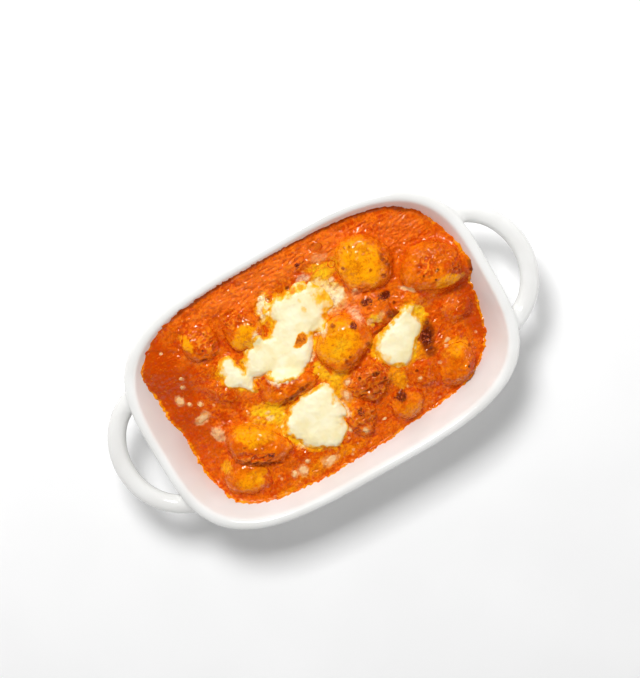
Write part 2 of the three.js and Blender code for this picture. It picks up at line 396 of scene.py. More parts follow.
class Tint(Enum):
    """Ways that the food's colour departs from its base, in the order they are laid."""

    DEEP = "c64202"
    GOLD = "f9a008"
    YELLOW = "fdc51c"
    CRUST = "dc7406"
    RED = "c84002"
    SALMON = "f1701c"
    PALE = "f4c48a"
    BROWN = "8f3606"
    CHAR = "5a1606"
    MILK = "f8ecc2"

    @property
    def layer(self) -> str:
        """Name of the vertex attribute that holds the tint's strength."""
        return "tint_" + self.name.lower()


SMALL_SPOTS = (Tint.PALE, Tint.BROWN, Tint.CHAR)


@dataclass(frozen=True)
class Mark:
    """A soft-edged spot: middle and half sizes in millimetres, turn in degrees, strength."""

    x: float
    y: float
    half_x: float
    half_y: float
    turn: float
    strength: float


@dataclass(frozen=True)
class Crumb:
    """A small bit lying on the food: middle, length and width in millimetres, turn in degrees."""

    x: float
    y: float
    length: float
    width: float
    turn: float = 0.0


CURDS = tuple(Crumb(*row) for row in (
    (-71.5, 3.6, 9, 4.5, 5), (-69, 11, 3, 3), (-77.5, 18, 5, 5), (-74, 14, 2.5, 2.5),
    (-70, 28.5, 2.5, 2), (-72.5, 24, 2.5, 2), (-72, 45.5, 2, 1.6), (-43.5, -46.5, 4, 3.5, 40),
    (-38.5, -47.5, 4.5, 6.5, 10), (-34, -44, 3, 2.4), (-23.5, -50, 8, 5, 10), (6, -17.5, 4, 3),
    (2, -23.5, 4, 7, -10), (-5.5, -40.5, 2, 3), (1.5, -44.5, 3, 4, 20), (13, -45, 3, 1.5),
    (34, 23.5, 3, 2.2, 30), (26, 34.5, 4, 3), (40.5, -35, 2.4, 2),
))

MarkTable = dict[Tint, tuple[tuple[float, ...], ...]]

# Each row is a Mark: x, y, half_x, half_y, turn, strength.
BAKED_MARKS: MarkTable = {
    Tint.DEEP: (
        (-78, 31, 15, 26, 0, 0.9), (-78.5, -4, 10, 20, 0, 0.55), (84.5, -16, 10, 20, 0, 0.95),
        (76, -50, 12, 9, -30, 0.9), (66, -5.5, 8, 5, 0, 0.4), (85, 9, 6, 5, 0, 0.8),
    ),
    Tint.GOLD: (
        (43, 34.5, 12, 15, 0, 0.9), (80, 3.5, 9, 3, -6, 0.9), (65, -30, 7, 6, 0, 0.75),
        (11.5, 5.5, 13, 12, 0, 1), (28.5, -47, 8, 5, 0, 0.5), (-51, -16.5, 12, 6, -30, 0.95),
        (-63.5, -37.5, 10, 6, 0, 0.7), (-57.5, 43.5, 2.6, 6.5, 8, 0.9), (-28, 31.5, 9, 5.5, 0, 0.95),
        (23.5, 45.5, 12, 5, 0, 0.5), (-2, -25.5, 3.5, 14, 0, 0.7), (-43.5, -5.5, 10, 4, -10, 0.4),
        (-24, -50, 26, 4.5, 0, 0.55), (40, -18, 12, 7, -30, 0.5), (58, 1, 10, 6, -30, 0.45),
        (-30, -30, 8, 5, 30, 0.4), (3, -12, 7, 5, 0, 0.8), (4, -20, 6, 10, 0, 0.6),
        (30, 17, 10, 10, 0, 0.4), (-36, -14, 14, 9, -10, 0.5), (-8, 45, 14, 4, 0, 0.4),
        (31, -28, 5, 9, 0, 0.75), (55, -9, 4, 6, -30, 0.7), (-53, -54, 8, 3, 0, 0.6),
        (-54, 21, 5, 6, 0, 0.4), (50, -21.5, 10, 5, 0, 0.35),
    ),
    Tint.YELLOW: (
        (13.5, 2, 6.5, 5, 0, 0.5), (34.5, 5, 5.5, 3.6, 0, 0.8), (-74, -26, 4, 4.5, 0, 0.6),
        (-61.5, -38.5, 3.2, 2.4, 0, 0.4), (19.5, 30.5, 8, 14, 0, 0.85), (26.5, 41.5, 7, 5, 0, 0.6),
        (-1, -16.5, 4, 8, 0, 0.6), (-38.5, -12.5, 10, 7, -20, 0.85), (3, -12, 4, 3, 0, 0.5),
        (-37, -23, 4, 4, 0, 0.4), (-13, 38, 5, 9, -30, 0.7), (-27, 24, 4, 5, 0, 0.6),
        (33, -33, 4, 6, 0, 0.35), (29.5, -21.5, 4, 5, 0, 0.3), (-4, -5, 4, 6, 0, 0.7),
        (-36, 19, 3, 4, 0, 0.7), (-8.5, 47.5, 2.6, 4.2, 0, 0.75), (28.5, -15.5, 4, 6, 0, 0.75),
        (57, -4.5, 4.2, 4.5, 0, 0.75), (5.5, 28, 1.6, 3.2, 10, 0.9), (6, 33.5, 1.4, 1.8, 0, 0.7),
        (9, 39, 2.4, 1.8, 0, 0.7), (54, -0.5, 3.2, 2.2, 0, 0.7), (27.5, 53.5, 2.2, 1.8, 0, 1),
    ),
    Tint.CRUST: (
        (-4.5, 14.5, 5.2, 2.8, 20, 1),
    ),
    Tint.RED: (
        (57.5, 29.5, 3.5, 13, 0, 0.35), (76, 17.5, 14, 11, 0, 0.35), (73, 16.5, 6.5, 4.5, 10, 0.7),
        (75, -10.5, 9, 8, 0, 0.45), (59, -44, 9, 5, 0, 0.5), (37.5, 14.5, 9, 6, 0, 0.4),
        (17.5, -22, 13, 11, 0, 0.85), (25.5, -40, 6, 5, 0, 0.5), (3, -38.5, 9, 9, 0, 0.75),
        (-58.5, -26.5, 11, 3.4, -30, 0.85), (-49, 39.5, 7.5, 8, 0, 0.85), (-29, 42.5, 10, 5, 0, 0.85),
        (-25, 0, 11, 4.5, -28, 0.75), (-54, 12, 13, 4.5, -48, 0.7), (43.5, -34, 6, 7, 0, 0.3),
        (10, 50, 20, 5, 0, 0.6), (-46, 53, 16, 5, 0, 0.5), (86, 21.5, 6, 14, 0, 0.4),
    ),
    Tint.SALMON: (
        # The marks at (75, -8.5) on the next line and (-56, 14) two lines down are painted highlights on
        # gnocco tops; the others are salmon-coloured crust and skin.
        (72, 16.5, 5, 3.5, 10, 0.4), (75, -8.5, 5.5, 4.5, 0, 0.7), (36, 11, 8, 5, 0, 0.6),
        (19.5, -18, 6, 2.5, -15, 0.5), (-45, -11, 5.5, 1.6, -42, 0.6), (-49, 40.5, 4.5, 4, 0, 0.5),
        (-56, 14, 7, 2.2, -48, 0.5), (-5.5, 53, 44, 6, 0, 0.95), (70, 39.5, 15, 9, -25, 0.65),
        (12, -20, 5, 5, 0, 0.5), (34, 52, 11, 4.5, 0, 0.75), (35, 22, 7, 4, 0, 0.7), (-43, 3, 7, 3, 0, 0.6),
        (28, 11.5, 4.5, 8.5, 15, 0.6),
    ),
    Tint.PALE: (
        (63, -24.5, 2, 1.3, 0, 0.8), (61, -27, 1.5, 1, 0, 0.7), (54, -33, 1.6, 1.4, 0, 0.6),
        (38.5, 5, 4.5, 2, 25, 0.5), (31, 14, 3, 2.5, 0, 0.4), (32.5, 5, 2.6, 1.6, 20, 0.7),
        (-69, -8, 3.6, 4.8, 0, 0.75), (-73, 3, 5, 4, 0, 0.5), (14.5, 27.5, 3.5, 9, 0, 0.4),
        (-3, -28, 2.5, 5, 0, 0.6), (26, 48, 6, 3, 0, 0.45), (22, 21, 8, 5, 20, 0.45),
        (34, 21, 4, 3, 0, 0.45), (27.5, 11.5, 3.2, 7.5, 15, 0.42), (58, 10, 4.6, 1.6, -50, 0.85),
        (-39.5, -10.5, 2, 1.2, 0, 0.6), (-56, -2.5, 3, 1.6, 0, 0.3),
    ),
    Tint.BROWN: (
        (55, 30.5, 1.5, 7, 8, 0.7), (51, 22.5, 1.6, 1.6, 0, 0.7), (40.5, 45.5, 1.1, 1.1, 0, 0.7),
        (43, 44.5, 1.1, 1.1, 0, 0.7), (34.5, 37, 1.1, 1.1, 0, 0.7), (46.5, 29, 1.1, 1.1, 0, 0.7),
        (14.5, -9, 11, 2.6, 12, 0.45), (14.5, 13.5, 1.5, 1.5, 0, 0.7), (11.5, -7, 1.2, 1.2, 0, 0.7),
        # The mark at (45, 2) on the next line is a painted shadow, not browning.
        (14.5, -5.5, 1, 1, 0, 0.7), (25.5, -4.5, 1.8, 1.8, 0, 0.7), (45, 2, 5, 2.8, -25, 0.9),
        (36.5, -2, 7, 1.3, 0, 0.8), (16.5, -25, 11, 8, 0, 0.5), (4, -39, 7, 7, 0, 0.5),
        # The long thin mark at (-56, -32) on the next line is painted shade under a gnocco's lower edge,
        # not browning.
        (-56, -32, 15, 1.3, -28, 0.75), (-50.5, -25.5, 1.2, 1.2, 0, 0.6), (-53.5, -24, 1, 1, 0, 0.6),
        (-59, -20, 1, 1, 0, 0.6), (-52, -12.5, 0.9, 0.9, 0, 0.6), (-33, 42, 1.2, 1.2, 0, 0.7),
        (-26, 42.5, 1.2, 1.2, 0, 0.7), (-22.5, 35.5, 1.2, 1.2, 0, 0.7), (-17.5, 35.5, 1.2, 1.2, 0, 0.7),
        (-21, -9, 13, 1.5, 10, 0.75), (6, 49, 10, 3.5, 0, 0.35), (93.5, 4.5, 2.4, 4.5, 0, 0.7),
        (53, -25, 4, 3.5, 0, 0.7), (10.5, 12, 7, 2.6, -10, 0.45), (85, 7, 4, 3, 0, 0.4),
        (-50, 1.5, 14, 5, -15, 0.35), (54, -16.5, 8.5, 4.4, 62, 0.9), (54, -17.5, 5, 6, 0, 0.6),
        (-8, 42, 1.5, 1.2, 0, 0.7), (-67.5, 28, 1.1, 1.1, 0, 0.6), (27.5, 53.5, 5, 4, 0, 0.5),
    ),
    Tint.CHAR: (
        (69, 12.5, 1, 1, 0, 0.8), (76.5, 11.5, 1.3, 1.3, 0, 0.8), (73.5, 7.5, 0.8, 0.8, 0, 0.8),
        (66.5, -42.5, 0.9, 0.9, 0, 0.8), (72, -33, 1, 1, 0, 0.6), (24, 8, 1.8, 2.1, 0, 0.9),
        (36, 15, 3.4, 2.4, 0, 0.85), (46, 13.5, 3.3, 2.6, 0, 0.9), (48.5, 7.5, 1.3, 1.3, 0, 0.7),
        (12.5, -18.5, 1.3, 1.1, 0, 0.85), (21.5, -20, 2.4, 1.7, 0, 0.85), (24.5, -25, 1.1, 1.1, 0, 0.85),
        (26.5, -38, 3.8, 3.2, 0, 0.85), (4, -34.5, 1.5, 2.8, 25, 0.85), (-48.5, -30.5, 1.8, 1, -20, 0.9),
        (-54.5, 44, 0.9, 0.9, -10, 0.7), (-46.5, 43.5, 0.8, 0.8, -10, 0.7), (-51.5, 36, 0.9, 0.9, -10, 0.7),
        (-54, 31, 3, 0.9, -10, 0.7), (-24, -10, 1.3, 1.1, 0, 0.7), (-16, -9, 1, 1, 0, 0.7),
        (41, -31, 1, 1, 0, 0.8), (92.5, 2.5, 1.2, 1.6, 0, 0.7), (54, -17.5, 5.5, 2.6, 62, 1),
        (53, -24.5, 1.6, 1.2, 0, 0.6), (58, -11, 1.5, 1.2, 0, 0.7), (14, 50, 1.3, 1.3, 0, 0.8),
        (3.5, 42.5, 1.5, 1.3, 0, 0.7),
    ),
    Tint.MILK: (
        (22, 23, 6, 3, 25, 0.55), (8, 18, 4, 7, 0, 0.85), (24, 30, 4, 6, 0, 0.4),
        (28, 12, 2.4, 6, 15, 0.45), (-4, -28, 3, 6, 0, 0.7), (-12.5, 40, 3, 8, -30, 0.7),
        (-24, 27, 2.5, 5, -30, 0.6), (-46, 12.5, 5, 3, -15, 0.8), (-35, 11, 6, 3, 0, 0.85),
        (-22, 2.5, 9, 4, -15, 0.9), (-8, 5.5, 8, 4, 30, 0.9), (-26, -36, 9, 4, -10, 0.55),
        (-13, -40, 8, 3, 10, 0.6), (18, 36, 5, 5, 0, 0.5), (21, 27, 5, 6, 30, 0.45), (16, 23, 4, 5, 0, 0.5),
        (12, 42, 5, 3, 20, 0.5), (-40, -14, 3, 2, -20, 0.5),
    ),
}


@dataclass
class CheeseHalo:
    """Nearness of melted cheese, so that its oil can tint the food round it."""

    cell: float = 1.0
    half_x: float = 105.0
    half_y: float = 70.0
    rounds: int = 34
    grid: np.ndarray | None = None

    def survey(self) -> None:
        """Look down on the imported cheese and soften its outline."""
        cheese = [packed.data for packed in packed_nodes("mozzarella").values()]
        columns = np.arange(-self.half_x, self.half_x + self.cell, self.cell)
        rows = np.arange(-self.half_y, self.half_y + self.cell, self.cell)
        places = np.array([(x, y) for y in rows for x in columns])
        covered = heights_over(surface_tree(cheese), places, FAR_BELOW) > 0
        self.grid = blurred(covered.reshape(len(rows), len(columns)).astype(float), self.rounds)

    def near(self, points: np.ndarray) -> np.ndarray:
        """Read the nearness at points.

        Args:
            points: Places in millimetres, three columns.

        Returns:
            For each point 0 far away, a half at the outline and 1 well under the cheese.
        """
        if self.grid is None:
            self.survey()
        column = np.clip((points[:, 0] + self.half_x) / self.cell, 0, self.grid.shape[1] - 1.001)
        row = np.clip((points[:, 1] + self.half_y) / self.cell, 0, self.grid.shape[0] - 1.001)
        left, low = column.astype(int), row.astype(int)
        across, up = column - left, row - low
        under = self.grid[low, left] * (1 - across) + self.grid[low, left + 1] * across
        over = self.grid[low + 1, left] * (1 - across) + self.grid[low + 1, left + 1] * across
        return under * (1 - up) + over * up


@dataclass
class FoodPaint:
    """Lays the tints on any food surface, by where its points lie in the dish."""

    marks: MarkTable
    halo: CheeseHalo = field(default_factory=CheeseHalo)
    flattening: float = 0.4
    wander: tuple[tuple[float, float, float], ...] = (
        (7.0, 0.55, 3.4), (2.7, 0.34, 1.5), (1.2, 0.22, 0.8),
    )

    def strengths(self, points: np.ndarray, with_oil: bool = True) -> dict[Tint, np.ndarray]:
        """Work out how strong each tint is at each point.

        Args:
            points: Places in millimetres, three columns.
            with_oil: Whether the oil of the cheese counts.

        Returns:
            For each tint, one value from 0 to 1 for each point.
        """
        flat = points * np.array([1, 1, self.flattening])
        drifts = [
            np.array([noise.noise_vector(Vector(p) / size)[:2] for p in flat.tolist()])
            for size, _, _ in self.wander
        ]
        found = {}
        for tint, rows in self.marks.items():
            clear = np.ones(len(points))
            for mark in (Mark(*row) for row in rows):
                clear *= 1 - mark.strength * self.cover(mark, points, drifts)
            found[tint] = 1 - clear
        if with_oil:
            self.add_cheese_oil(points, found)
        return found

    def cover(self, mark: Mark, points: np.ndarray, drifts: list[np.ndarray]) -> np.ndarray:
        """How much of a mark lies at each point.

        Args:
            mark: The mark.
            points: Places in millimetres, three columns.
            drifts: How far each layer of wandering shifts each point.

        Returns:
            For each point, 1 in the mark's middle to 0 past its edge.
        """
        small = min(mark.half_x, mark.half_y)
        drift = sum(
            min(share * small, most) * part
            for part, (_, share, most) in zip(drifts, self.wander)
        )
        x = points[:, 0] + drift[:, 0] - mark.x
        y = points[:, 1] + drift[:, 1] - mark.y
        turn = math.radians(mark.turn)
        along = x * math.cos(turn) + y * math.sin(turn)
        across = y * math.cos(turn) - x * math.sin(turn)
        return smooth_between(1.4, 0.5, np.hypot(along / mark.half_x, across / mark.half_y))

    def add_cheese_oil(self, points: np.ndarray, found: dict[Tint, np.ndarray]) -> None:
        """Turn the food gold, then yellow, towards the cheese, more in some places than others.

        Args:
            points: Places in millimetres, three columns.
            found: Strengths by tint, changed here.
        """
        near = self.halo.near(points)
        spread = 0.65 + 0.75 * field_noise(points, 16.0, 81.0, 2)
        ragged = 0.13 * field_noise(points, 2.6, 82.0, 3)
        reach = np.clip(near * spread, 0, 1) + ragged * smooth_between(0.01, 0.1, near)
        found[Tint.GOLD] = np.maximum(found[Tint.GOLD], 0.85 * smooth_between(0.06, 0.26, reach))
        found[Tint.YELLOW] = np.maximum(found[Tint.YELLOW], 0.8 * smooth_between(0.2, 0.42, reach))

    def apply(self, mesh: bpy.types.Mesh, extra: dict[Tint, np.ndarray] | None = None) -> None:
        """Store the tints of a mesh's vertices as its attributes.

        Args:
            mesh: Mesh to tint.
            extra: Further strength of some tints, one value for each vertex.
        """
        found = self.strengths(read_points(mesh))
        for tint, strength in (extra or {}).items():
            found[tint] = np.maximum(found[tint], strength)
        for tint, strength in found.items():
            store_layer(mesh, tint.layer, strength)


# ------------------------------------------------------------------ dish


@dataclass
class GratinDish:
    """White stoneware bowl with a rounded rim, a foot ring and two loop handles."""

    rim_half_x: float = 101.9
    rim_half_y: float = 68.3
    corner_power: float = 3.5
    height: float = 52.0
    rim_band: float = 6.0
    rim_round: float = 2.6
    lip_height: float = 6.5
    lip_overhang: float = 1.8
    wall_slope: float = 0.42
    floor_top: float = 7.0
    floor_round_height: float = 9.0
    floor_round_reach: float = 13.0
    foot_inset: float = 22.5
    foot_width: float = 5.0
    foot_recess: float = 1.2
    base_round: float = 6.0
    handle_reach: float = 126.0
    handle_centre_x: float = 92.0
    handle_half_span: float = 33.0
    handle_level: float = 41.5
    handle_half_width: float = 5.2
    handle_half_height: float = 5.6
    handle_flare: float = 0.45
    handle_last_turn: float = 88.0
    handle_sink: float = 2.0
    around: int = 144
    clay_cell: float = 1.15
    clay_rounds: int = 7

    def outline_radius(self, bearing: np.ndarray, inset: np.ndarray | float) -> np.ndarray:
        """Distance from the middle to the rim's outline.

        Args:
            bearing: Angle from +X, in radians.
            inset: How far the outline is moved in.

        Returns:
            The distance on each bearing.
        """
        along_x = np.abs(np.cos(bearing)) / (self.rim_half_x - inset)
        along_y = np.abs(np.sin(bearing)) / (self.rim_half_y - inset)
        power = self.corner_power
        return (along_x ** power + along_y ** power) ** (-1 / power)

    def wall_inset(self, depth: np.ndarray | float) -> np.ndarray:
        """How far the inner wall lies inside the outline, at a depth under the rim."""
        return self.rim_band + self.wall_slope * np.maximum(0, np.asarray(depth) - self.rim_round)

    def outer_inset(self, z: float) -> float:
        """How far the outer wall lies inside the outline, at a height."""
        return self.lip_overhang + self.wall_slope * (self.height - self.lip_height - z)

    def floor_steps(self, clearance: float = 0.0) -> list[tuple[float, float]]:
        """Trace the round between the inner wall and the floor.

        Args:
            clearance: How far inside the dish the line runs.

        Returns:
            Inset and height of each step, from the wall to the floor.
        """
        top = self.floor_top + self.floor_round_height
        start = float(self.wall_inset(self.height - top))
        steps = []
        for part in np.linspace(0, 1, 7):
            turn = part * math.pi / 2
            inset = start + clearance + self.floor_round_reach * (1 - math.cos(turn))
            steps.append((inset, top + clearance - self.floor_round_height * math.sin(turn)))
        return steps

    def profile(self) -> list[tuple[float, float]]:
        """Trace the bowl's section.

        Returns:
            Inset and height of each step, from the underside over the rim to the floor.
        """
        foot_inner = self.foot_inset + self.foot_width
        steps = [
            (foot_inner + self.foot_recess, self.foot_recess),
            (foot_inner, 0.0),
            (self.foot_inset, 0.0),
            (self.outer_inset(self.base_round / 4) + self.foot_recess, self.base_round / 4),
            (self.outer_inset(self.base_round), self.base_round),
            (self.outer_inset(self.height / 2), self.height / 2),
            (self.lip_overhang, self.height - self.lip_height),
            (self.lip_overhang / 4, self.height - self.lip_height + self.lip_overhang / 2),
        ]
        for turn in np.linspace(0, math.pi, 13):
            inset = self.rim_band / 2 * (1 - math.cos(turn))
            steps.append((inset, self.height - self.rim_round * (1 - math.sin(turn))))
        middle = (self.rim_round + self.height / 2) / 2
        steps.append((float(self.wall_inset(middle)), self.height - middle))
        return steps + self.floor_steps()

    def add_bowl(self, bm: bmesh.types.BMesh) -> None:
        """Add the bowl's closed shell to a bmesh.

        Args:
            bm: Mesh that the bowl is added to.
        """
        bearings = np.linspace(0, 2 * math.pi, self.around, endpoint=False)
        stations = []
        for inset, z in self.profile():
            radii = self.outline_radius(bearings, inset)
            stations.append([
                Vector((r * math.cos(b), r * math.sin(b), z)) for r, b in zip(radii, bearings)
            ])
        loft(bm, stations)

    def add_handle(self, bm: bmesh.types.BMesh, side: int) -> None:
        """Add one loop handle, its ends sunk in the wall.

        Args:
            bm: Mesh that the handle is added to.
            side: 1 for the end at +X, -1 for the other.
        """
        reach = self.handle_reach - self.handle_half_width - self.handle_centre_x
        last_turn = math.radians(self.handle_last_turn)
        stations = []
        for along in np.linspace(-1, 1, 33):
            turn = along * last_turn
            middle = Vector((self.handle_centre_x + reach * math.cos(turn),
                             self.handle_half_span * math.sin(turn), self.handle_level))
            outward = Vector((self.handle_half_span * math.cos(turn), reach * math.sin(turn), 0))
            outward.normalize()
            flare = 1 + self.handle_flare * abs(along) ** 9
            ring = []
            for angle in np.linspace(0, 2 * math.pi, 20, endpoint=False):
                place = middle + outward * (self.handle_half_width * flare * math.sin(angle))
                place.z += self.handle_half_height * flare * math.cos(angle)
                ring.append(Vector((place.x * side, place.y * side, place.z)))
            stations.append(ring)
        loft(bm, stations)

    def trim_inside(self, points: np.ndarray) -> np.ndarray:
        """Keep the handles' ends within the wall's thickness.

        Args:
            points: Places on the handles in millimetres, three columns.

        Returns:
            The same places, those inside the bowl pushed out into the wall.
        """
        bearing = np.arctan2(points[:, 1], points[:, 0])
        inner = self.wall_inset(self.height - points[:, 2])
        wall = self.outline_radius(bearing, inner - self.handle_sink)
        radius = np.hypot(points[:, 0], points[:, 1])
        push = np.maximum(1.0, wall / np.maximum(radius, 1.0))
        return np.column_stack((points[:, 0] * push, points[:, 1] * push, points[:, 2]))

    def build(self, finish: bpy.types.Material) -> bpy.types.Object:
        """Make the dish as one glazed body, with the handles' joints filled smooth.

        Args:
            finish: Glaze.

        Returns:
            The piece.
        """
        bm = bmesh.new()
        for side in (1, -1):
            self.add_handle(bm, side)
        loops = mesh_from(bm, "loops")
        write_points(loops, self.trim_inside(read_points(loops)))
        bm = bmesh.new()
        bm.from_mesh(loops)
        self.add_bowl(bm)
        bmesh.ops.recalc_face_normals(bm, faces=bm.faces)
        shell = mesh_from(bm, "gratin_dish")
        fused = ("REMESH", {"mode": "VOXEL", "voxel_size": self.clay_cell * MM})
        mesh = relaxed(finished_with(shell, [fused]), self.clay_rounds)
        points = read_points(mesh)
        points[:, 2] = np.maximum(points[:, 2], 0)
        points[:, 2] *= self.height / points[:, 2].max()
        write_points(mesh, points)
        return place_piece(mesh, "gratin_dish", finish, ["dish"])


# ------------------------------------------------------------------ gnocchi


@dataclass
class GnocchiBatch:
    """Baked gnocchi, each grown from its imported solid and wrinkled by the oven."""

    paint: FoodPaint
    sauce: "TomatoSauce"
    weld: float = 0.02
    skin_cell: float = 0.62
    skin_rounds: int = 8
    sag: float = 1.25
    wrinkle: float = 0.75
    pimple: float = 0.24
    blister: float = 0.35
    swell: float = 0.45
    sauce_cling: float = 0.9
    meshes: dict[str, bpy.types.Mesh] = field(default_factory=dict)

    def grown(self, node: str, source: bpy.types.Object) -> bpy.types.Mesh:
        """Round a packed gnocco off and give it fine, even faces.

        Args:
            node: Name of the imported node.
            source: Its object.

        Returns:
            A smooth, dense mesh.
        """
        bm = bmesh.new()
        bm.from_mesh(source.data)
        bmesh.ops.remove_doubles(bm, verts=bm.verts, dist=self.weld * MM)
        rounded = ("SUBSURF", {"levels": 2, "render_levels": 2})
        skin = ("REMESH", {"mode": "VOXEL", "voxel_size": self.skin_cell * MM})
        return relaxed(finished_with(mesh_from(bm, node), [rounded, skin]), self.skin_rounds)

    def wrinkled(self, mesh: bpy.types.Mesh, seed: float) -> None:
        """Give a gnocco its sags, wrinkles and blisters, and note which points stand on a ridge, for the
        finish's painted shade and painted highlights.

        Args:
            mesh: Gnocco to shape.
            seed: Offset of its unevenness.
        """
        points = read_points(mesh)
        normals = read_normals(mesh)
        tints = self.paint.strengths(points)
        crust = np.clip(tints[Tint.RED] + 0.8 * tints[Tint.BROWN] + 0.5 * tints[Tint.SALMON], 0, 1)
        smooth = np.clip(tints[Tint.GOLD], 0, 1) * (1 - crust)
        rise = self.swell + self.sag * field_noise(points, 10.0, seed, 2)
        ridges = ridge_noise(points, (3.4, 2.2, 3.0), seed + 4)
        rise += self.wrinkle * (0.5 + 1.5 * crust - 0.35 * smooth) * (ridges - 0.5)
        rise += self.pimple * (1 + crust) * field_noise(points, 1.7, seed + 9, 2)
        rise += self.blister * tints[Tint.CHAR] * (0.5 + field_noise(points, 1.2, seed + 3, 2))
        write_points(mesh, points + normals * rise[:, None])
        # The ridge value decides the finish's painted shade in hollows and painted highlights on ridges.
        store_layer(mesh, "ridge", 0.5 + (ridges - 0.5) * (0.3 + 0.7 * crust))

    def wetted(self, mesh: bpy.types.Mesh) -> np.ndarray:
        """How far the sauce clings to a gnocco.

        Args:
            mesh: The gnocco.

        Returns:
            For each vertex, 0 where it is clean to 0.9 where it is coated.
        """
        points = read_points(mesh)
        bearing = np.arctan2(points[:, 1], points[:, 0])
        part = np.hypot(points[:, 0], points[:, 1]) / self.sauce.edge_radius(bearing)
        proud = points[:, 2] - self.sauce.base_heights(bearing, np.clip(part, 0, 1))
        ragged = 1.6 * field_noise(points, 4.5, 91.0, 3)
        return self.sauce_cling * smooth_between(3.4, 0.6, proud + ragged)

    def build(self, finish: bpy.types.Material) -> None:
        """Make every gnocco.

        Args:
            finish: Baked dough.
        """
        for index, (node, packed) in enumerate(packed_nodes("gnocco").items()):
            mesh = self.grown(node, packed)
            self.wrinkled(mesh, float(index))
            self.paint.apply(mesh, {Tint.RED: self.wetted(mesh)})
            self.meshes[node] = mesh
            place_piece(mesh, "baked_" + node, finish, [node])


# ------------------------------------------------------------------ sauce


@dataclass
class TomatoSauce:
    """Tomato-cream sauce: pools, a wrinkled skin, mounds under the cheese, a film on the wall."""

    dish: GratinDish
    paint: FoodPaint
    middle_depth: float = 12.5
    dishing: float = 2.6
    fill_line: tuple[tuple[float, float], ...] = (
        (4, 7.5), (20, 12), (40, 7.5), (90, 4), (135, 4), (152, 6.5), (168, 20), (184, 26),
        (197, 23), (213, 14.2), (240, 16), (265, 17), (307, 22), (343, 23.5), (356, 20.5),
    )
    columns: int = 380
    rows: int = 252
    coated: tuple[str, ...] = ("gnocco_14", "gnocco_15", "gnocco_16", "gnocco_17")
    coat: float = 0.35
    under_gnocchi: float = 0.6
    cheese_bed: float = 2.2
    slump_rounds: int = 10
    mound: float = 1.3
    ripple: float = 0.55
    skin_wrinkle: float = 0.95
    bare_wrinkle: float = 0.25
    fold: float = 0.5
    pit: float = 0.16
    film_start: float = 0.955
    mesh: bpy.types.Mesh | None = None

    def fill_depth(self, bearing: np.ndarray) -> np.ndarray:
        """Depth under the rim where the sauce meets the wall.

        Args:
            bearing: Angles from +X, in radians.

        Returns:
            The depth on each bearing.
        """
        first = self.fill_line[0][0]
        marks = self.fill_line + ((first + 360, self.fill_line[0][1]),)
        degrees = first + np.mod(np.degrees(bearing) - first, 360)
        bearings = np.array([mark[0] for mark in marks])
        depths = np.array([mark[1] for mark in marks])
        upper = np.clip(np.searchsorted(bearings, degrees, side="right"), 1, len(marks) - 1)
        low, high = bearings[upper - 1], bearings[upper]
        part = smooth_between(low, high, degrees)
        return depths[upper - 1] + (depths[upper] - depths[upper - 1]) * part

    def film_climb(self, bearing: np.ndarray) -> np.ndarray:
        """How far the jagged film climbs over the fill line.

        Args:
            bearing: Angles from +X, in radians.

        Returns:
            The climb on each bearing.
        """
        ring = around(bearing, 60)
        broad = field_noise(ring, 9.0, 31.0, 2)
        jagged = field_noise(ring, 1.8, 32.0, 3)
        return np.clip(1.4 + 1.0 * broad + 2.0 * jagged, 0.1, 4.6)

    def edge_radius(self, bearing: np.ndarray) -> np.ndarray:
        """Distance from the middle to where the sauce meets the wall."""
        return self.dish.outline_radius(bearing, self.dish.wall_inset(self.fill_depth(bearing)))

    def place_grid(self, corners: np.ndarray) -> tuple[np.ndarray, np.ndarray, np.ndarray]:
        """Spread a square grid over the dish, out to the film's edge on the wall.

        Args:
            corners: Grid corners, from -1 to 1 both ways.

        Returns:
            X and Y of each corner, its bearing, and its part of the way to the wall.
        """
        half_x, half_y = self.dish.rim_half_x, self.dish.rim_half_y
        part = np.abs(corners).max(axis=1)
        x, y = corners[:, 0] * half_x, corners[:, 1] * half_y
        bearing = np.arctan2(y, x)
        to_square = np.minimum(half_x / np.maximum(np.abs(np.cos(bearing)), 1e-9),
                               half_y / np.maximum(np.abs(np.sin(bearing)), 1e-9))
        edge_depth = self.fill_depth(bearing) - self.film_climb(bearing)
        edge = self.dish.outline_radius(bearing, self.dish.wall_inset(edge_depth) - 0.25)
        scale = edge / to_square
        return np.column_stack((x * scale, y * scale)), bearing, part

    def base_heights(self, bearing: np.ndarray, part: np.ndarray) -> np.ndarray:
        """Height of the still sauce on each bearing, at a part of the way to the wall."""
        rise = (self.fill_depth(bearing) - self.middle_depth) * part ** self.dishing
        return self.dish.height - (self.middle_depth + rise)

    def build(self, finish: bpy.types.Material, gnocchi: GnocchiBatch) -> bpy.types.Object:
        """Make the sauce round the gnocchi and under the cheese.

        Args:
            finish: Sauce.
            gnocchi: The gnocchi that stand in it.

        Returns:
            The piece.
        """
        sheet = Sheet(self.columns, self.rows)
        places, bearing, part = self.place_grid(sheet.corners)
        flat = np.column_stack((places, np.zeros(len(places))))
        tints = self.paint.strengths(flat)

        heights = self.base_heights(bearing, part)
        calm = np.clip(tints[Tint.DEEP] * 0.8, 0, 1)
        inner = smooth_between(1.0, 0.9, part)
        heights += self.mound * (1 - calm) * inner * field_noise(flat, 17.0, 3.0, 2)
        heights += self.ripple * (1 - 0.6 * calm) * inner * field_noise(flat, 5.5, 5.0, 3)
        proud = [mesh for node, mesh in gnocchi.meshes.items() if node not in self.coated]
        low = [gnocchi.meshes[node] for node in self.coated]
        cheese = [packed.data for packed in packed_nodes("mozzarella").values()]
        lifts = ((proud, -self.under_gnocchi), (low, self.coat), (cheese, -self.cheese_bed))
        for meshes, lift in lifts:
            ground = heights_over(surface_tree(meshes), places, FAR_BELOW)
            heights = np.maximum(heights, ground + lift)
        heights = sheet.softened(sheet.table(heights), self.slump_rounds)

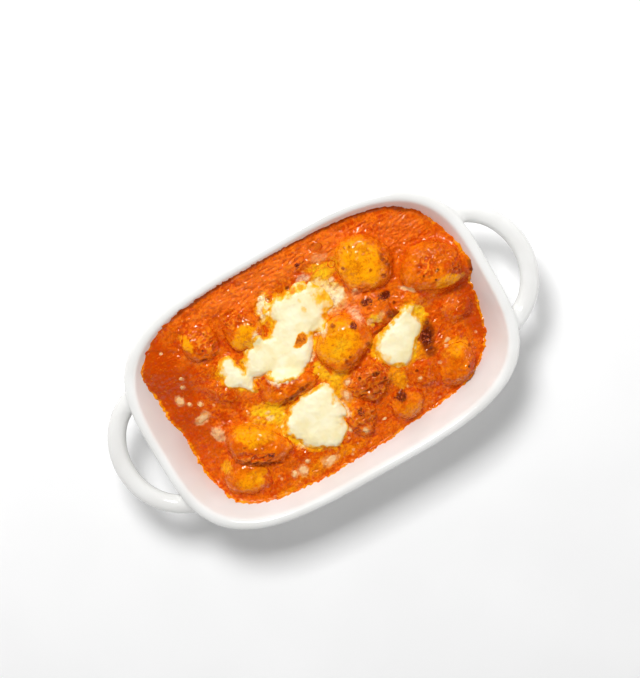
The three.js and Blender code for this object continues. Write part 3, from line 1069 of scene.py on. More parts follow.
        skin = np.clip(tints[Tint.SALMON], 0, 1)
        wrinkles = ridge_noise(flat, (5.5, 2.0, 2.0), 11.0)
        heights += inner * (self.skin_wrinkle * skin + self.bare_wrinkle) * (wrinkles - 0.45)
        folds = ridge_noise(flat, (2.6, 2.1, 2.0), 13.0)
        heights += inner * (self.fold * (1 - 0.55 * calm)) * (folds - 0.5)
        heights += self.pit * inner * field_noise(flat, 1.4, 17.0, 2)
        climb = smooth_between(self.film_start, 1.0, part) ** 2
        heights += climb * self.film_climb(bearing)

        sheet.move(places, heights)
        self.close_under(sheet.bm)
        mesh = mesh_from(sheet.bm, "tomato_sauce")
        self.paint.apply(mesh, self.edge_tints(mesh, bearing, part, wrinkles))
        # Ridge values for the finish's painted shade in hollows and painted highlights on ridges.
        ridge = 0.5 + 0.72 * (wrinkles - 0.5) * skin
        ridge += 0.6 * (folds - 0.5) * (1 - 0.8 * calm) * (1 - skin)
        hidden = np.full(len(mesh.vertices) - len(part), 0.5)
        store_layer(mesh, "ridge", np.concatenate((ridge, hidden)))
        self.mesh = mesh
        return place_piece(mesh, "tomato_sauce", finish, ["sauce"])

    def edge_tints(self, mesh: bpy.types.Mesh, bearing: np.ndarray, part: np.ndarray,
                   wrinkles: np.ndarray) -> dict[Tint, np.ndarray]:
        """Tints that follow the sauce's own shape: film, a dark band along the rear edge, curds, a salmon
        colour on the wrinkles' crests that is partly a painted highlight, and painted shade in their
        hollows.

        Args:
            mesh: The sauce's mesh, the open surface first.
            bearing: Bearing of each surface point.
            part: Part of the way to the wall of each surface point.
            wrinkles: Height of the skin's wrinkles at each surface point, 0 to 1.

        Returns:
            Strengths by tint, for every vertex of the mesh.
        """
        ring = around(bearing, 70)
        uneven = field_noise(ring, 5.0, 41.0, 3)
        rear = smooth_between(0.35, 0.75, np.sin(bearing) + 0.15 * np.cos(bearing))
        film = smooth_between(0.972, 0.99, part + 0.008 * uneven) * (1 - rear)
        # A dark band along the rear edge.
        rear_dark_band = smooth_between(0.95, 0.985, part + 0.012 * uneven) * rear
        points = read_points(mesh)[:len(part)]
        flat = points * FLAT
        cells = np.array([noise.voronoi(Vector(p) / 4.4)[0][0] for p in flat.tolist()])
        where = smooth_between(-0.15, 0.35, field_noise(flat, 15.0, 71.0, 2))
        curds = smooth_between(0.34, 0.14, cells) * where * smooth_between(34, 12, points[:, 1])
        rearward = smooth_between(28, 46, points[:, 1] + 5 * uneven)
        rearward *= smooth_between(-72, -50, points[:, 0])
        # Painted shade in the hollows of the rear skin's wrinkles.
        hollow_shade = rearward * smooth_between(0.45, 0.1, wrinkles)
        seen = {
            Tint.GOLD: 0.6 * film * (1 + 0.8 * uneven),
            # Salmon on the crests is partly the skin's colour and partly a painted highlight; the brown
            # holds the dark band along the rear edge and the painted shade in the hollows.
            Tint.SALMON: 0.8 * rearward * smooth_between(0.5, 0.9, wrinkles),
            Tint.PALE: 0.55 * curds * (1 - film),
            Tint.BROWN: np.maximum(0.85 * rear_dark_band, 0.35 * hollow_shade),
        }
        hidden = np.zeros(len(mesh.vertices) - len(part))
        return {tint: np.concatenate((strength, hidden)) for tint, strength in seen.items()}

    def close_under(self, bm: bmesh.types.BMesh) -> None:
        """Carry the sauce's rim down the wall and close it over the floor.

        Args:
            bm: The sauce's open surface, closed here.
        """
        edges = [edge for edge in bm.edges if edge.is_boundary]
        for inset, z in self.dish.floor_steps(0.3)[::2]:
            made = bmesh.ops.extrude_edge_only(bm, edges=edges)["geom"]
            verts = [item for item in made if isinstance(item, bmesh.types.BMVert)]
            edges = [item for item in made if isinstance(item, bmesh.types.BMEdge)]
            for vert in verts:
                bearing = math.atan2(vert.co.y, vert.co.x)
                radius = float(self.dish.outline_radius(np.array(bearing), inset))
                vert.co = Vector((radius * math.cos(bearing), radius * math.sin(bearing), z)) * MM
        bmesh.ops.holes_fill(bm, edges=edges, sides=0)
        bmesh.ops.recalc_face_normals(bm, faces=bm.faces)


# ------------------------------------------------------------------ mozzarella


@dataclass
class MozzarellaPatches:
    """Melted mozzarella, draped over what lies under it, thin and oily at its edges."""

    paint: FoodPaint
    cell: float = 0.55
    margin: float = 6.0
    run_reach: float = 4.5
    thickness: float = 2.0
    edge_reach: float = 2.4
    edge_wander: float = 1.5
    overhang: float = 1.4
    body: float = 1.6
    swell: float = 0.35
    dimple: float = 0.06
    sink: float = 0.25
    edge_drop: float = 0.9
    outside_level: float = 30.0
    edge_rounds: int = 3
    drape_rounds: int = 22
    first_seed: float = 60.0
    meshes: list[bpy.types.Mesh] = field(default_factory=list)

    def inside_distance(self, covered: np.ndarray) -> np.ndarray:
        """Distance from the patch's edge, positive inside it.

        Args:
            covered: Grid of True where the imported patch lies.

        Returns:
            Distance in millimetres for each grid point.
        """
        wide = np.pad(covered, 1, constant_values=False)
        near = wide[:-2, 1:-1] & wide[2:, 1:-1] & wide[1:-1, :-2] & wide[1:-1, 2:]
        edge = np.argwhere(covered & ~near)
        rows, columns = np.indices(covered.shape)
        distance = np.full(covered.shape, 1e9)
        for row, column in edge:
            distance = np.minimum(distance, (rows - row) ** 2 + (columns - column) ** 2)
        return np.where(covered, 1, -1) * np.sqrt(distance) * self.cell

    def build_one(self, node: str, seed: float, bed: BVHTree, finish: bpy.types.Material) -> None:
        """Make one patch.

        Args:
            node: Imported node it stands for.
            seed: Offset of its unevenness.
            bed: Search tree of the sauce and gnocchi it lies on.
            finish: Melted cheese.
        """
        low, high = (np.array(corner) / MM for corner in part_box(node))
        size = high - low + 2 * self.margin
        counts = [int(math.ceil(size[axis] / self.cell)) for axis in (0, 1)]
        sheet = Sheet(*counts)
        middle = (low + high)[:2] / 2
        places = middle + sheet.corners * np.array(counts) * self.cell / 2
        flat = np.column_stack((places, np.zeros(len(places))))

        solid = surface_tree([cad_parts[node].data])
        covered = sheet.table(heights_over(solid, places, FAR_BELOW)) > 0
        distance = sheet.softened(self.inside_distance(covered), self.edge_rounds)
        distance += self.edge_wander * (field_noise(flat, 6.5, seed, 3) + 0.7)
        distance += self.run_reach * self.paint.strengths(flat, with_oil=False)[Tint.MILK]
        under = heights_over(bed, places, self.outside_level)
        drape = sheet.softened(sheet.table(under), self.drape_rounds)
        drape = np.maximum(drape, under * 0.6 + drape * 0.4)
        rise = self.thickness * (1 - np.exp(-np.maximum(distance, 0) / self.edge_reach))
        rise += self.swell * smooth_between(0, 5, distance) * field_noise(flat, 8.0, seed + 2, 2)
        rise += self.dimple * smooth_between(0, 2, distance) * field_noise(flat, 2.2, seed + 5, 2)
        lay = smooth_between(0.0, 4.0, distance)
        heights = under + (drape - under) * lay + rise - self.sink
        heights += np.minimum(distance, 0) * self.edge_drop

        sheet.move(places, heights)
        reach = np.clip(4.4 + 4.6 * field_noise(flat, 11.0, seed + 8, 2), 1.6, 9.5)
        thin = smooth_between(reach, 0.2, distance)
        keep = distance >= -self.overhang
        far = [vert for vert, kept in zip(sheet.bm.verts, keep) if not kept]
        bmesh.ops.delete(sheet.bm, geom=far, context="VERTS")
        mesh = mesh_from(sheet.bm, node)
        self.paint_edges(mesh, thin[keep])
        thickened = ("SOLIDIFY", {"thickness": self.body * MM, "offset": -1})
        self.meshes.append(finished_with(mesh, [thickened]))
        place_piece(self.meshes[-1], "melted_" + node, finish, [node])

    def paint_edges(self, mesh: bpy.types.Mesh, thin: np.ndarray) -> None:
        """Store the tints, with oily yellow where the cheese is thin.

        Args:
            mesh: The open sheet of cheese.
            thin: For each vertex, 1 at the edge to 0 where the cheese is thick.
        """
        points = read_points(mesh)
        uneven = field_noise(points, 3.0, 51.0, 3)
        melt = np.clip(thin * (1.1 + 0.9 * uneven), 0, 1.2)
        store_layer(mesh, "thin_edge", melt)
        strengths = self.paint.strengths(points, with_oil=False)
        for name, tint in (("oil_spot", Tint.YELLOW), ("crust_spot", Tint.CRUST)):
            store_layer(mesh, name, strengths[tint])

    def build(self, finish: bpy.types.Material, below: list[bpy.types.Mesh]) -> None:
        """Make every patch.

        Args:
            finish: Melted cheese.
            below: Meshes that the patches lie on.
        """
        bed = surface_tree(below)
        for index, node in enumerate(packed_nodes("mozzarella")):
            self.build_one(node, self.first_seed + index, bed, finish)


# ------------------------------------------------------------------ small toppings


@dataclass
class Toppings:
    """Crumbs of cheese, flakes of char and cooked bubbles, all at true size."""

    below: list[bpy.types.Mesh]
    seed: int = 12
    crumbs: tuple[Crumb, ...] = CURDS
    flake_beds: tuple[Crumb, ...] = tuple(Crumb(*row) for row in (
        (53, -18.5, 5, 7), (26.5, -37.5, 6.5, 5.5), (36, 14.5, 6, 4), (45.5, 13, 6, 5),
        (4.5, -34.5, 3, 5, 25), (13.8, 50, 2.5, 2.5), (24, 7.5, 3, 3), (-48, -31, 3, 2, -20),
    ))
    flakes_per_bed: int = 16
    curd_thick: float = 0.8
    curd_rugged: float = 0.3
    flake_thick: float = 0.6
    flake_rugged: float = 0.8
    bubbles: tuple[Crumb, ...] = tuple(Crumb(*row) for row in (
        (17, 52.5, 5, 5), (30, 41.5, 4, 4), (-32, 42, 3.2, 3.2), (-25, 42.5, 3, 3),
        (-21.5, 35.5, 3, 3), (-49.5, -25.5, 2.8, 2.8), (-8, 42, 3, 3), (27.5, 53.5, 6.5, 5),
    ))
    rim_steps: int = 26
    rim_radius: float = 0.3
    rim_flatness: float = 0.7
    rim_sink: float = 0.06
    rim_ridge: float = 0.6

    def lay(self, bm: bmesh.types.BMesh, crumb: Crumb, tree: BVHTree, thick: float, seed: float,
            rugged: float) -> None:
        """Add one uneven bit, following the surface under it.

        Args:
            bm: Mesh that the bit is added to.
            crumb: Where it lies and its size.
            tree: Search tree of the food's surface.
            thick: Its thickness.
            seed: Offset of its unevenness.
            rugged: How uneven it is.
        """
        made = bmesh.ops.create_icosphere(bm, subdivisions=4, radius=1.0)["verts"]
        turn = math.radians(crumb.turn)
        for vert in made:
            bump = 1 + rugged * noise.fractal(vert.co * 1.3 + Vector((seed, 0, 0)), 0.8, 2.1, 3)
            x, y = vert.co.x * crumb.length / 2 * bump, vert.co.y * crumb.width / 2 * bump
            place_x = crumb.x + x * math.cos(turn) - y * math.sin(turn)
            place_y = crumb.y + y * math.cos(turn) + x * math.sin(turn)
            z = ground_at(tree, place_x, place_y) + (vert.co.z * bump - 0.3) * thick / 2
            vert.co = Vector((place_x, place_y, z)) * MM

    def build_crumbs(self, tree: BVHTree, finish: bpy.types.Material) -> None:
        """Make the curds of cheese, half sunk in the sauce.

        Args:
            tree: Search tree of the food's surface.
            finish: Stained curd.
        """
        bm = bmesh.new()
        for index, crumb in enumerate(self.crumbs):
            self.lay(bm, crumb, tree, self.curd_thick, index * 3.1, self.curd_rugged)
        mesh = mesh_from(bm, "cheese_curds")
        points = read_points(mesh)
        ground = heights_over(tree, points[:, :2], 0)
        store_layer(mesh, "curd_top", smooth_between(-0.02, 0.32, points[:, 2] - ground))
        place_piece(mesh, "cheese_curds", finish)

    def build_flakes(self, tree: BVHTree, finish: bpy.types.Material) -> None:
        """Make the flakes of char, strewn over their beds.

        Args:
            tree: Search tree of the food's surface.
            finish: Char.
        """
        draw = np.random.default_rng(self.seed)
        bm = bmesh.new()
        for bed in self.flake_beds:
            for _ in range(self.flakes_per_bed):
                angle, part = draw.uniform(0, 2 * math.pi), draw.uniform(0, 1.15)
                flake = Crumb(bed.x + part * bed.length / 2 * math.cos(angle),
                              bed.y + part * bed.width / 2 * math.sin(angle),
                              draw.uniform(0.5, 1.9), draw.uniform(0.4, 1.1), draw.uniform(0, 180))
                seed = float(draw.uniform(0, 90))
                self.lay(bm, flake, tree, self.flake_thick, seed, self.flake_rugged)
        place_piece(mesh_from(bm, "char_flakes"), "char_flakes", finish)

    def build_bubbles(self, tree: BVHTree, finish: bpy.types.Material) -> None:
        """Make the rims of burst bubbles.

        Args:
            tree: Search tree of the food's surface.
            finish: Sauce.
        """
        bm = bmesh.new()
        for index, bubble in enumerate(self.bubbles):
            section = bmesh.ops.create_circle(bm, segments=8, radius=self.rim_radius)["verts"]
            bmesh.ops.rotate(bm, verts=section, cent=(0, 0, 0),
                             matrix=Matrix.Rotation(math.pi / 2, 3, "X"))
            bmesh.ops.translate(bm, verts=section, vec=(1, 0, 0))
            before = set(bm.verts) - set(section)
            edges = list({edge for vert in section for edge in vert.link_edges})
            bmesh.ops.spin(bm, geom=section + edges, axis=(0, 0, 1), cent=(0, 0, 0),
                           steps=self.rim_steps, angle=2 * math.pi, use_merge=True)
            for vert in set(bm.verts) - before:
                away = Vector((vert.co.x, vert.co.y))
                ring = away.normalized()
                wave = 1 + 0.12 * noise.noise(Vector((ring.x, ring.y, index * 2.7)) * 1.5)
                rim = away.length - 1
                x = bubble.x + ring.x * (bubble.length / 2 * wave + rim)
                y = bubble.y + ring.y * (bubble.width / 2 * wave + rim)
                z = ground_at(tree, x, y) + vert.co.z * self.rim_flatness - self.rim_sink
                vert.co = Vector((x, y, z)) * MM
        bmesh.ops.recalc_face_normals(bm, faces=bm.faces)
        mesh = mesh_from(bm, "burst_bubbles")
        # This ridge value gives the bubbles' rims a little of the sauce finish's painted ridge highlight.
        store_layer(mesh, "ridge", np.full(len(mesh.vertices), self.rim_ridge))
        place_piece(mesh, "burst_bubbles", finish)

    def build(self, curd: bpy.types.Material, char: bpy.types.Material,
              crust: bpy.types.Material) -> None:
        """Make all the small toppings.

        Args:
            curd: Finish of the curds.
            char: Finish of the flakes.
            crust: Finish of the bubbles.
        """
        tree = surface_tree(self.below)
        self.build_crumbs(tree, curd)
        self.build_flakes(tree, char)
        self.build_bubbles(tree, crust)


# ------------------------------------------------------------------ finishes


def add(tree: bpy.types.NodeTree, kind: str, inputs: dict | None = None,
        **settings: object) -> bpy.types.Node:
    """Add a node with its settings, values and links.

    Args:
        tree: Node tree.
        kind: Node type.
        inputs: Value, or another node's output, for each socket.
        settings: The node's own settings.

    Returns:
        The node.
    """
    node = tree.nodes.new(kind)
    for name, value in settings.items():
        setattr(node, name, value)
    for key, value in (inputs or {}).items():
        if isinstance(value, bpy.types.NodeSocket):
            tree.links.new(value, node.inputs[key])
        else:
            node.inputs[key].default_value = value
    return node


class FinishNodes:
    """Shared steps of the procedural finishes, on one material's node tree."""

    def __init__(self, name: str) -> None:
        """Start a material with a principled shader.

        Args:
            name: Name of the material.
        """
        self.material = bpy.data.materials.new(name)
        self.material.use_nodes = True
        self.tree = self.material.node_tree
        self.tree.nodes.clear()
        self.shader = add(self.tree, "ShaderNodeBsdfPrincipled")
        add(self.tree, "ShaderNodeOutputMaterial", {"Surface": self.shader.outputs["BSDF"]})
        self.places = add(self.tree, "ShaderNodeTexCoord").outputs["Object"]

    def set_shader(self, **values: object) -> None:
        """Set the shader's own sockets; an underscore stands for a space."""
        for key, value in values.items():
            self.shader.inputs[key.replace("_", " ")].default_value = value

    def feed(self, socket: str, value: bpy.types.NodeSocket) -> None:
        """Link a value to one of the shader's sockets."""
        self.tree.links.new(value, self.shader.inputs[socket])

    def grain(self, size: float, detail: float = 3.0, warp: float = 0.0) -> bpy.types.NodeSocket:
        """Make an uneven value.

        Args:
            size: Width of its lumps in millimetres.
            detail: Number of finer layers.
            warp: How far the lumps are bent.

        Returns:
            The value, about 0.5 on average.
        """
        node = add(self.tree, "ShaderNodeTexNoise", {
            "Vector": self.places, "Scale": 1 / (size * MM), "Detail": detail,
            "Roughness": 0.55, "Distortion": warp,
        })
        return node.outputs[0]

    def layer(self, name: str) -> bpy.types.NodeSocket:
        """Value of a vertex attribute."""
        return add(self.tree, "ShaderNodeAttribute", attribute_name=name).outputs["Fac"]

    def sum_of(self, first: bpy.types.NodeSocket, second: bpy.types.NodeSocket,
               share: float, offset: float = 0.0) -> bpy.types.NodeSocket:
        """Add to a value a share of another that swings round 0.5.

        Args:
            first: Value to start from.
            second: Value that is added.
            share: How much of it is added; half of this is taken off again.
            offset: Further amount that is added.

        Returns:
            The sum.
        """
        node = add(self.tree, "ShaderNodeMath", {0: second, 1: share, 2: offset - share / 2},
                   operation="MULTIPLY_ADD")
        total = add(self.tree, "ShaderNodeMath", {0: first, 1: node.outputs[0]}, operation="ADD")
        return total.outputs[0]

    def eased(self, value: bpy.types.NodeSocket, low: float, high: float,
              to_low: float = 0.0, to_high: float = 1.0) -> bpy.types.NodeSocket:
        """Ease a value between two limits.

        Args:
            value: Value to ease.
            low: Where it becomes to_low.
            high: Where it becomes to_high.
            to_low: Result at and under low.
            to_high: Result at and over high.

        Returns:
            The eased value.
        """
        node = add(self.tree, "ShaderNodeMapRange", {
            "Value": value, "From Min": low, "From Max": high, "To Min": to_low, "To Max": to_high,
        }, interpolation_type="SMOOTHSTEP")
        return node.outputs["Result"]

    def laid(self, under: object, over: object, value: bpy.types.NodeSocket, low: float,
             high: float, to_high: float = 1.0, to_low: float = 0.0) -> bpy.types.NodeSocket:
        """Lay one colour over another where a value says so.

        Args:
            under: Colour below, a hex value or another node's colour.
            over: Colour on top, likewise.
            value: Value that decides.
            low: Where the top colour's share becomes to_low.
            high: Where its share becomes to_high.
            to_high: Its share at and over high.
            to_low: Its share at and under low.

        Returns:
            The blended colour.
        """
        under, over = (hex_to_linear(c) if isinstance(c, str) else c for c in (under, over))
        share = self.eased(value, low, high, to_low, to_high)
        return add(self.tree, "ShaderNodeMix", {0: share, 6: under, 7: over}, data_type="RGBA").outputs[2]

    def gloss(self, value: bpy.types.NodeSocket, low: float, high: float) -> None:
        """Let the roughness swing between two limits with an uneven value."""
        self.feed("Roughness", self.eased(value, 0.3, 0.7, low, high))

    def relief(self, heights: list[tuple[bpy.types.NodeSocket, float]],
               strength: float | bpy.types.NodeSocket, socket: str = "Normal") -> None:
        """Add fine relief.

        Args:
            heights: Heights, each with its depth in millimetres.
            strength: How far the relief counts.
            socket: Shader socket that takes the bent normal.
        """
        inputs = {"Strength": strength}
        for height, depth in heights:
            inputs |= {"Height": height, "Distance": depth * MM}
            inputs["Normal"] = add(self.tree, "ShaderNodeBump", inputs).outputs["Normal"]
        self.feed(socket, inputs["Normal"])


@dataclass(frozen=True)
class Finish:
    """A procedural material, named for the real one."""

    name: str

    def make(self) -> bpy.types.Material:
        """Make the material.

        Returns:
            The material, with this finish laid on its shader.
        """
        look = FinishNodes(self.name)
        self.lay(look)
        return look.material

    def lay(self, look: FinishNodes) -> None:
        """Give the shader its colour, gloss and relief."""
        raise NotImplementedError


@dataclass(frozen=True)
class BakedFood(Finish):
    """Sauce or dough from the oven: oily and wet, its colour broken up by tints and mottles, with painted
    shade in the hollows of its wrinkles and painted highlights and glints on their ridges.
    """

    dark: str
    light: str
    lump: float
    mottle: float
    gloss_low: float = 0.16
    gloss_high: float = 0.36
    depth: float = 0.15
    breakup: float = 0.62
    spot_breakup: float = 0.55
    toast: str = "b24404"
    cream: str = "fb9418"
    grit: float = 0.5
    scorched: str = "c05206"
    # The three colours below are painted light laid by the ridge value: painted shade in the hollows of the
    # wrinkles, a painted highlight on their ridges and painted glints on their tops.
    painted_crease_shade: str = "8a2202"
    glow: str = "fc9216"
    painted_glint: str = "fdb650"

    def lay(self, look: FinishNodes) -> None:
        """Give the food its mottled colour, its oily shine and its fine relief.

        Args:
            look: The material's nodes.
        """
        fine = look.grain(1.5, 4.0, 0.6)
        specks = look.grain(0.6, 2.0)
        tone = look.sum_of(look.grain(self.lump), fine, 0.55)
        colour = look.laid(self.dark, self.light, tone, 0.3, 0.72)
        colour = self.tinted(look, colour, fine, specks)
        toasted = look.sum_of(look.grain(1.8, 2.0, 0.3), look.grain(9.0), 0.9)
        colour = look.laid(colour, self.toast, toasted, 0.48, 0.78, self.mottle)
        creamy = look.sum_of(look.grain(2.3, 3.0, 0.8), specks, 0.5)
        creamy = look.sum_of(creamy, look.layer(Tint.RED.layer), 0.12)
        colour = look.laid(colour, self.cream, creamy, 0.52, 0.76, self.mottle)
        look.feed("Base Color", colour)
        look.gloss(fine, self.gloss_low, self.gloss_high)
        look.set_shader(IOR=1.36, Specular_IOR_Level=0.5, Subsurface_Weight=0.12,
                        Specular_Tint=(1.0, 0.3, 0.03, 1.0),
                        Subsurface_Radius=(1.0, 0.32, 0.1), Subsurface_Scale=1.2 * MM,
                        Coat_Roughness=0.04, Coat_IOR=1.48)
        look.relief([(fine, self.depth), (specks, self.depth * 0.35)], 1.0)
        look.feed("Coat Weight", look.eased(look.grain(1.9, 2.0, 0.3), 0.5, 0.64, 0.05, 1.0))
        rough = look.sum_of(look.layer(Tint.RED.layer), look.layer(Tint.SALMON.layer), 1.0, 0.5)
        ripple = look.eased(rough, 0.1, 0.8, 0.75, 1.0)
        look.relief([(look.grain(2.0, 1.5, 0.5), 0.2)], ripple, "Coat Normal")

    def tinted(self, look: FinishNodes, colour: bpy.types.NodeSocket, fine: bpy.types.NodeSocket,
               specks: bpy.types.NodeSocket) -> bpy.types.NodeSocket:
        """Lay the tints over the base colour, with grit, and between them painted shade in the hollows of
        the wrinkles and painted highlights and glints on their ridges.

        Args:
            look: The material's nodes.
            colour: Base colour.
            fine: Fine grain that frays the tints.
            specks: Finer grain.

        Returns:
            The tinted colour.
        """
        grit = look.sum_of(look.grain(1.1, 2.0, 0.3), look.grain(6.0, 2.0), 0.9)
        ridge = look.sum_of(look.layer("ridge"), fine, 0.25)
        # Tops of the ridges, where the painted glints go.
        sparkle = look.sum_of(ridge, specks, 1.2)
        for tint in Tint:
            breakup = self.breakup * (self.spot_breakup if tint in SMALL_SPOTS else 1.0)
            share = look.sum_of(look.layer(tint.layer), fine, breakup)
            share = look.sum_of(share, specks, 0.3 * breakup)
            colour = look.laid(colour, tint.value, share, 0.2, 0.9)
            if tint is Tint.GOLD:
                colour = look.laid(colour, self.scorched, grit, 0.46, 0.74, self.grit)
            # Laid over the whole food, not only where the salmon tint is: painted shade in the hollows, a
            # painted highlight on the ridges and painted glints on their tops.
            if tint is Tint.SALMON:
                colour = look.laid(colour, self.painted_crease_shade, ridge, 0.02, 0.3, 0.0, 0.6)
                colour = look.laid(colour, self.glow, ridge, 0.6, 0.95, 0.65)
                colour = look.laid(colour, self.painted_glint, sparkle, 0.9, 1.15, 0.35)
        return colour


@dataclass(frozen=True)
class MeltedMozzarella(Finish):
    """Melted cheese: milky and soft, turning yellow with oil where it is thin."""

    name: str = "Melted mozzarella"
    milk: str = "f1e2b0"
    cream: str = "f9efcc"
    oil: str = "fbbb16"
    browned: str = "e8800c"
    toast: str = "a84a06"

    def lay(self, look: FinishNodes) -> None:
        """Give the cheese its milky body, oily edges and one browned island.

        Args:
            look: The material's nodes.
        """
        soft = look.grain(8.0, 2.0)
        fine = look.grain(1.7, 3.0, 0.5)
        colour = look.laid(self.milk, self.cream, soft, 0.3, 0.7)
        thin = look.sum_of(look.layer("thin_edge"), fine, 0.7)
        colour = look.laid(colour, self.oil, thin, 0.3, 1.0)
        colour = look.laid(colour, self.browned, thin, 0.9, 1.35)
        spot = look.sum_of(look.layer("oil_spot"), fine, 0.9)
        colour = look.laid(colour, self.oil, spot, 0.3, 1.25, 0.85)
        crust = look.sum_of(look.layer("crust_spot"), fine, 0.7)
        colour = look.laid(colour, self.oil, crust, 0.15, 0.5)
        colour = look.laid(colour, self.browned, crust, 0.4, 0.75)
        dark = look.sum_of(crust, look.grain(1.1, 2.0), 1.6)
        look.feed("Base Color", look.laid(colour, self.toast, dark, 0.75, 1.25))
        look.gloss(fine, 0.28, 0.45)
        look.set_shader(IOR=1.38, Subsurface_Weight=0.3, Subsurface_Radius=(1.0, 0.8, 0.45),
                        Subsurface_Scale=1.6 * MM)
        look.relief([(soft, 0.25), (fine, 0.06)], 0.5)


@dataclass(frozen=True)
class SoftCurd(Finish):
    """Bits of curd half sunk in the sauce: creamy on top, stained by tomato lower down."""

    name: str = "Curd stained by sauce"
    cream: str = "f4c088"
    stained: str = "e98c3e"

    def lay(self, look: FinishNodes) -> None:
        """Give the curds their creamy tops and stained sides.

        Args:
            look: The material's nodes.
        """
        fine = look.grain(1.3, 3.0, 0.4)
        top = look.sum_of(look.layer("curd_top"), fine, 0.5)
        look.feed("Base Color", look.laid(self.stained, self.cream, top, 0.15, 0.85))
        look.gloss(fine, 0.22, 0.4)
        look.set_shader(IOR=1.38, Subsurface_Weight=0.35, Subsurface_Radius=(1.0, 0.55, 0.25),
                        Subsurface_Scale=1.4 * MM)
        look.relief([(fine, 0.2)], 0.6)


@dataclass(frozen=True)
class WhiteGlaze(Finish):
    """Dipped white tin glaze on stoneware: bright, a little uneven, softly mirrored."""

    name: str = "White stoneware glaze"
    white: str = "e9e9e7"
    shade: str = "e2e1de"

    def lay(self, look: FinishNodes) -> None:
        """Give the glaze its faint clouds and its soft ripple.

        Args:
            look: The material's nodes.
        """
        cloud = look.grain(28.0, 2.0)
        look.feed("Base Color", look.laid(self.shade, self.white, cloud, 0.3, 0.7))
        look.gloss(cloud, 0.10, 0.17)
        look.set_shader(IOR=1.5)
        look.relief([(look.grain(3.5, 2.0), 0.02)], 0.5)


@dataclass(frozen=True)
class PaleTable(Finish):
    """Matt pale table top, with the faintest clouding."""

    name: str = "Pale painted table"
    light: str = "fafafa"
    dark: str = "f7f7f7"

    def lay(self, look: FinishNodes) -> None:
        """Give the table its even, matt white."""
        look.feed("Base Color", look.laid(self.dark, self.light, look.grain(90.0, 2.0), 0.3, 0.7))
        look.set_shader(Roughness=0.6)


@dataclass(frozen=True)
class OvenChar(Finish):
    """Burnt flakes: nearly black, red-brown at their thin edges, oily."""

    name: str = "Oven char"
    burnt: str = "6e1a08"
    toasted: str = "d05a12"

    def lay(self, look: FinishNodes) -> None:
        """Give the flakes their burnt colour and oily shine.

        Args:
            look: The material's nodes.
        """
        fine = look.grain(0.9, 3.0)
        look.feed("Base Color", look.laid(self.burnt, self.toasted, fine, 0.42, 0.66))
        look.gloss(fine, 0.2, 0.4)
        look.set_shader(IOR=1.42)
        look.relief([(fine, 0.15)], 0.6)


# ------------------------------------------------------------------ studio


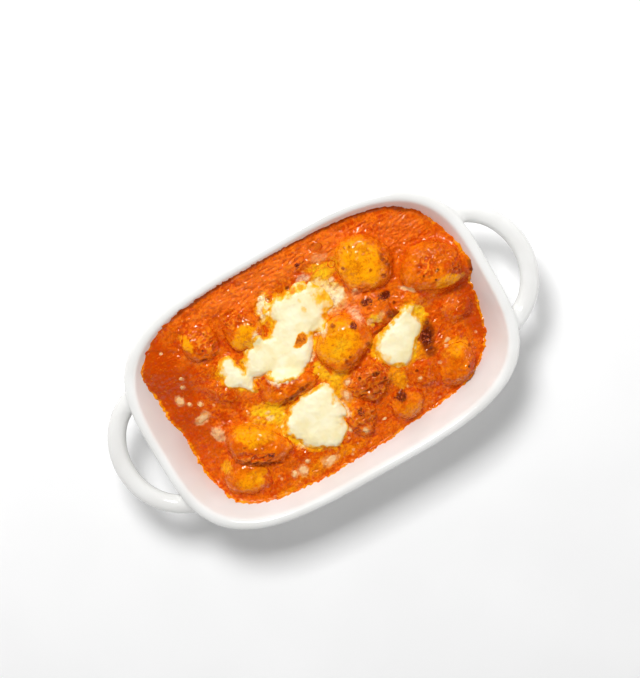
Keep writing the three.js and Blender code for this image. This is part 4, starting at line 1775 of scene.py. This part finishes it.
@dataclass
class Studio:
    """Pale table, soft light from behind the dish, and a camera almost straight above.

    Places are in millimetres, but for the lamps: their places and sides are in metres.
    """

    eye: tuple[float, float, float] = (64.0, 80.0, 847.0)
    aim: tuple[float, float, float] = (5.7, 11.0, 52.0)
    roll: float = 29.9
    seen_height: float = 354.6
    sensor: float = 36.0
    clip_end: float = 20.0
    table_half: float = 2500.0
    lamps: tuple[tuple[str, tuple[float, float, float], float, float], ...] = (
        ("window", (0.1, 0.55, 1.0), 0.32, 11.1), ("bounce", (0.9, -0.9, 0.4), 0.7, 1.6),
    )
    lamp_aim: tuple[float, float, float] = (0.0, 0.0, 0.04)
    glow_level: float = 1.12

    def build(self) -> None:
        """Make the table, the lights and the camera."""
        self.build_table()
        self.build_lights()
        self.build_camera()

    def build_table(self) -> None:
        """Make the table top that the dish stands on."""
        bm = bmesh.new()
        bmesh.ops.create_grid(bm, x_segments=8, y_segments=8, size=self.table_half * MM)
        mesh = mesh_from(bm, "table_top")
        mesh.materials.append(PaleTable().make())
        table = bpy.data.objects.new("table_top", mesh)
        bpy.context.scene.collection.objects.link(table)

    def add_lamp(self, name: str, place: tuple[float, float, float], size: float, power: float) -> None:
        """Add a square soft lamp that looks at the dish.

        Args:
            name: Name of the lamp.
            place: Its place in metres.
            size: Its side in metres.
            power: Its power in watts.
        """
        lamp = bpy.data.lights.new(name, "AREA")
        lamp.shape = "SQUARE"
        lamp.size = size
        lamp.energy = power
        carrier = bpy.data.objects.new(name, lamp)
        carrier.location = place
        towards = Vector(self.lamp_aim) - Vector(place)
        carrier.rotation_euler = towards.to_track_quat("-Z", "Y").to_euler()
        bpy.context.scene.collection.objects.link(carrier)

    def build_lights(self) -> None:
        """Make a window-like lamp behind the dish, a weak one in front, and a room lit low down."""
        for lamp in self.lamps:
            self.add_lamp(*lamp)
        world = bpy.data.worlds.new("room")
        world.use_nodes = True
        tree = world.node_tree
        tree.nodes.clear()
        place = add(tree, "ShaderNodeTexCoord").outputs["Generated"]
        up = add(tree, "ShaderNodeSeparateXYZ", {0: place}).outputs["Z"]
        level = add(tree, "ShaderNodeMapRange", {
            "Value": up, "From Min": 0.0, "From Max": 1.0, "To Min": self.glow_level, "To Max": 0.0,
        }).outputs["Result"]
        glow = add(tree, "ShaderNodeBackground", {"Color": (1, 1, 1, 1), "Strength": level})
        add(tree, "ShaderNodeOutputWorld", {"Surface": glow.outputs[0]})
        bpy.context.scene.world = world

    def build_camera(self) -> None:
        """Make the camera, turned so that the dish lies aslant."""
        eye, aim = Vector(self.eye) * MM, Vector(self.aim) * MM
        back = (eye - aim).normalized()
        turn = math.radians(self.roll)
        right = Vector((math.cos(turn), -math.sin(turn), 0))
        right = (right - back * right.dot(back)).normalized()
        up = back.cross(right)
        lens = bpy.data.cameras.new("camera")
        lens.sensor_width = self.sensor
        lens.lens = self.sensor * (eye - aim).length / (self.seen_height * MM)
        lens.clip_end = self.clip_end
        camera = bpy.data.objects.new("camera", lens)
        camera.matrix_world = Matrix.Translation(eye) @ Matrix((right, up, back)).transposed().to_4x4()
        bpy.context.scene.collection.objects.link(camera)
        bpy.context.scene.camera = camera


# ------------------------------------------------------------------ whole


def cream_round_curds(spread: float = 0.7, strength: float = 0.5) -> tuple[tuple[float, ...], ...]:
    """Lay a creamy mark round each curd.

    Args:
        spread: Half size of the mark, as a share of the curd's size.
        strength: Strength of the mark.

    Returns:
        Rows for a table of marks.
    """
    return tuple(
        (curd.x, curd.y, spread * curd.length, spread * curd.width, curd.turn, strength)
        for curd in CURDS
    )


def main() -> None:
    """Build every piece in order, then the studio."""
    bpy.context.scene.view_settings.view_transform = "Standard"
    sauce_finish = BakedFood("Baked tomato-cream sauce", "cc4002", "f0700c", 6.0, 0.5).make()
    dough_finish = BakedFood("Baked potato dough", "d65804", "f07e08", 5.0, 0.45).make()
    cheese_finish = MeltedMozzarella().make()
    curd_finish = SoftCurd().make()
    char_finish = OvenChar().make()

    paint = FoodPaint(BAKED_MARKS | {Tint.PALE: BAKED_MARKS[Tint.PALE] + cream_round_curds()})
    dish = GratinDish()
    dish.build(WhiteGlaze().make())
    sauce = TomatoSauce(dish, paint)
    gnocchi = GnocchiBatch(paint, sauce)
    gnocchi.build(dough_finish)
    sauce.build(sauce_finish, gnocchi)
    food = [sauce.mesh, *gnocchi.meshes.values()]
    patches = MozzarellaPatches(paint)
    patches.build(cheese_finish, food)
    Toppings([*food, *patches.meshes]).build(curd_finish, char_finish, sauce_finish)
    Studio().build()


if __name__ == "__main__":
    main()
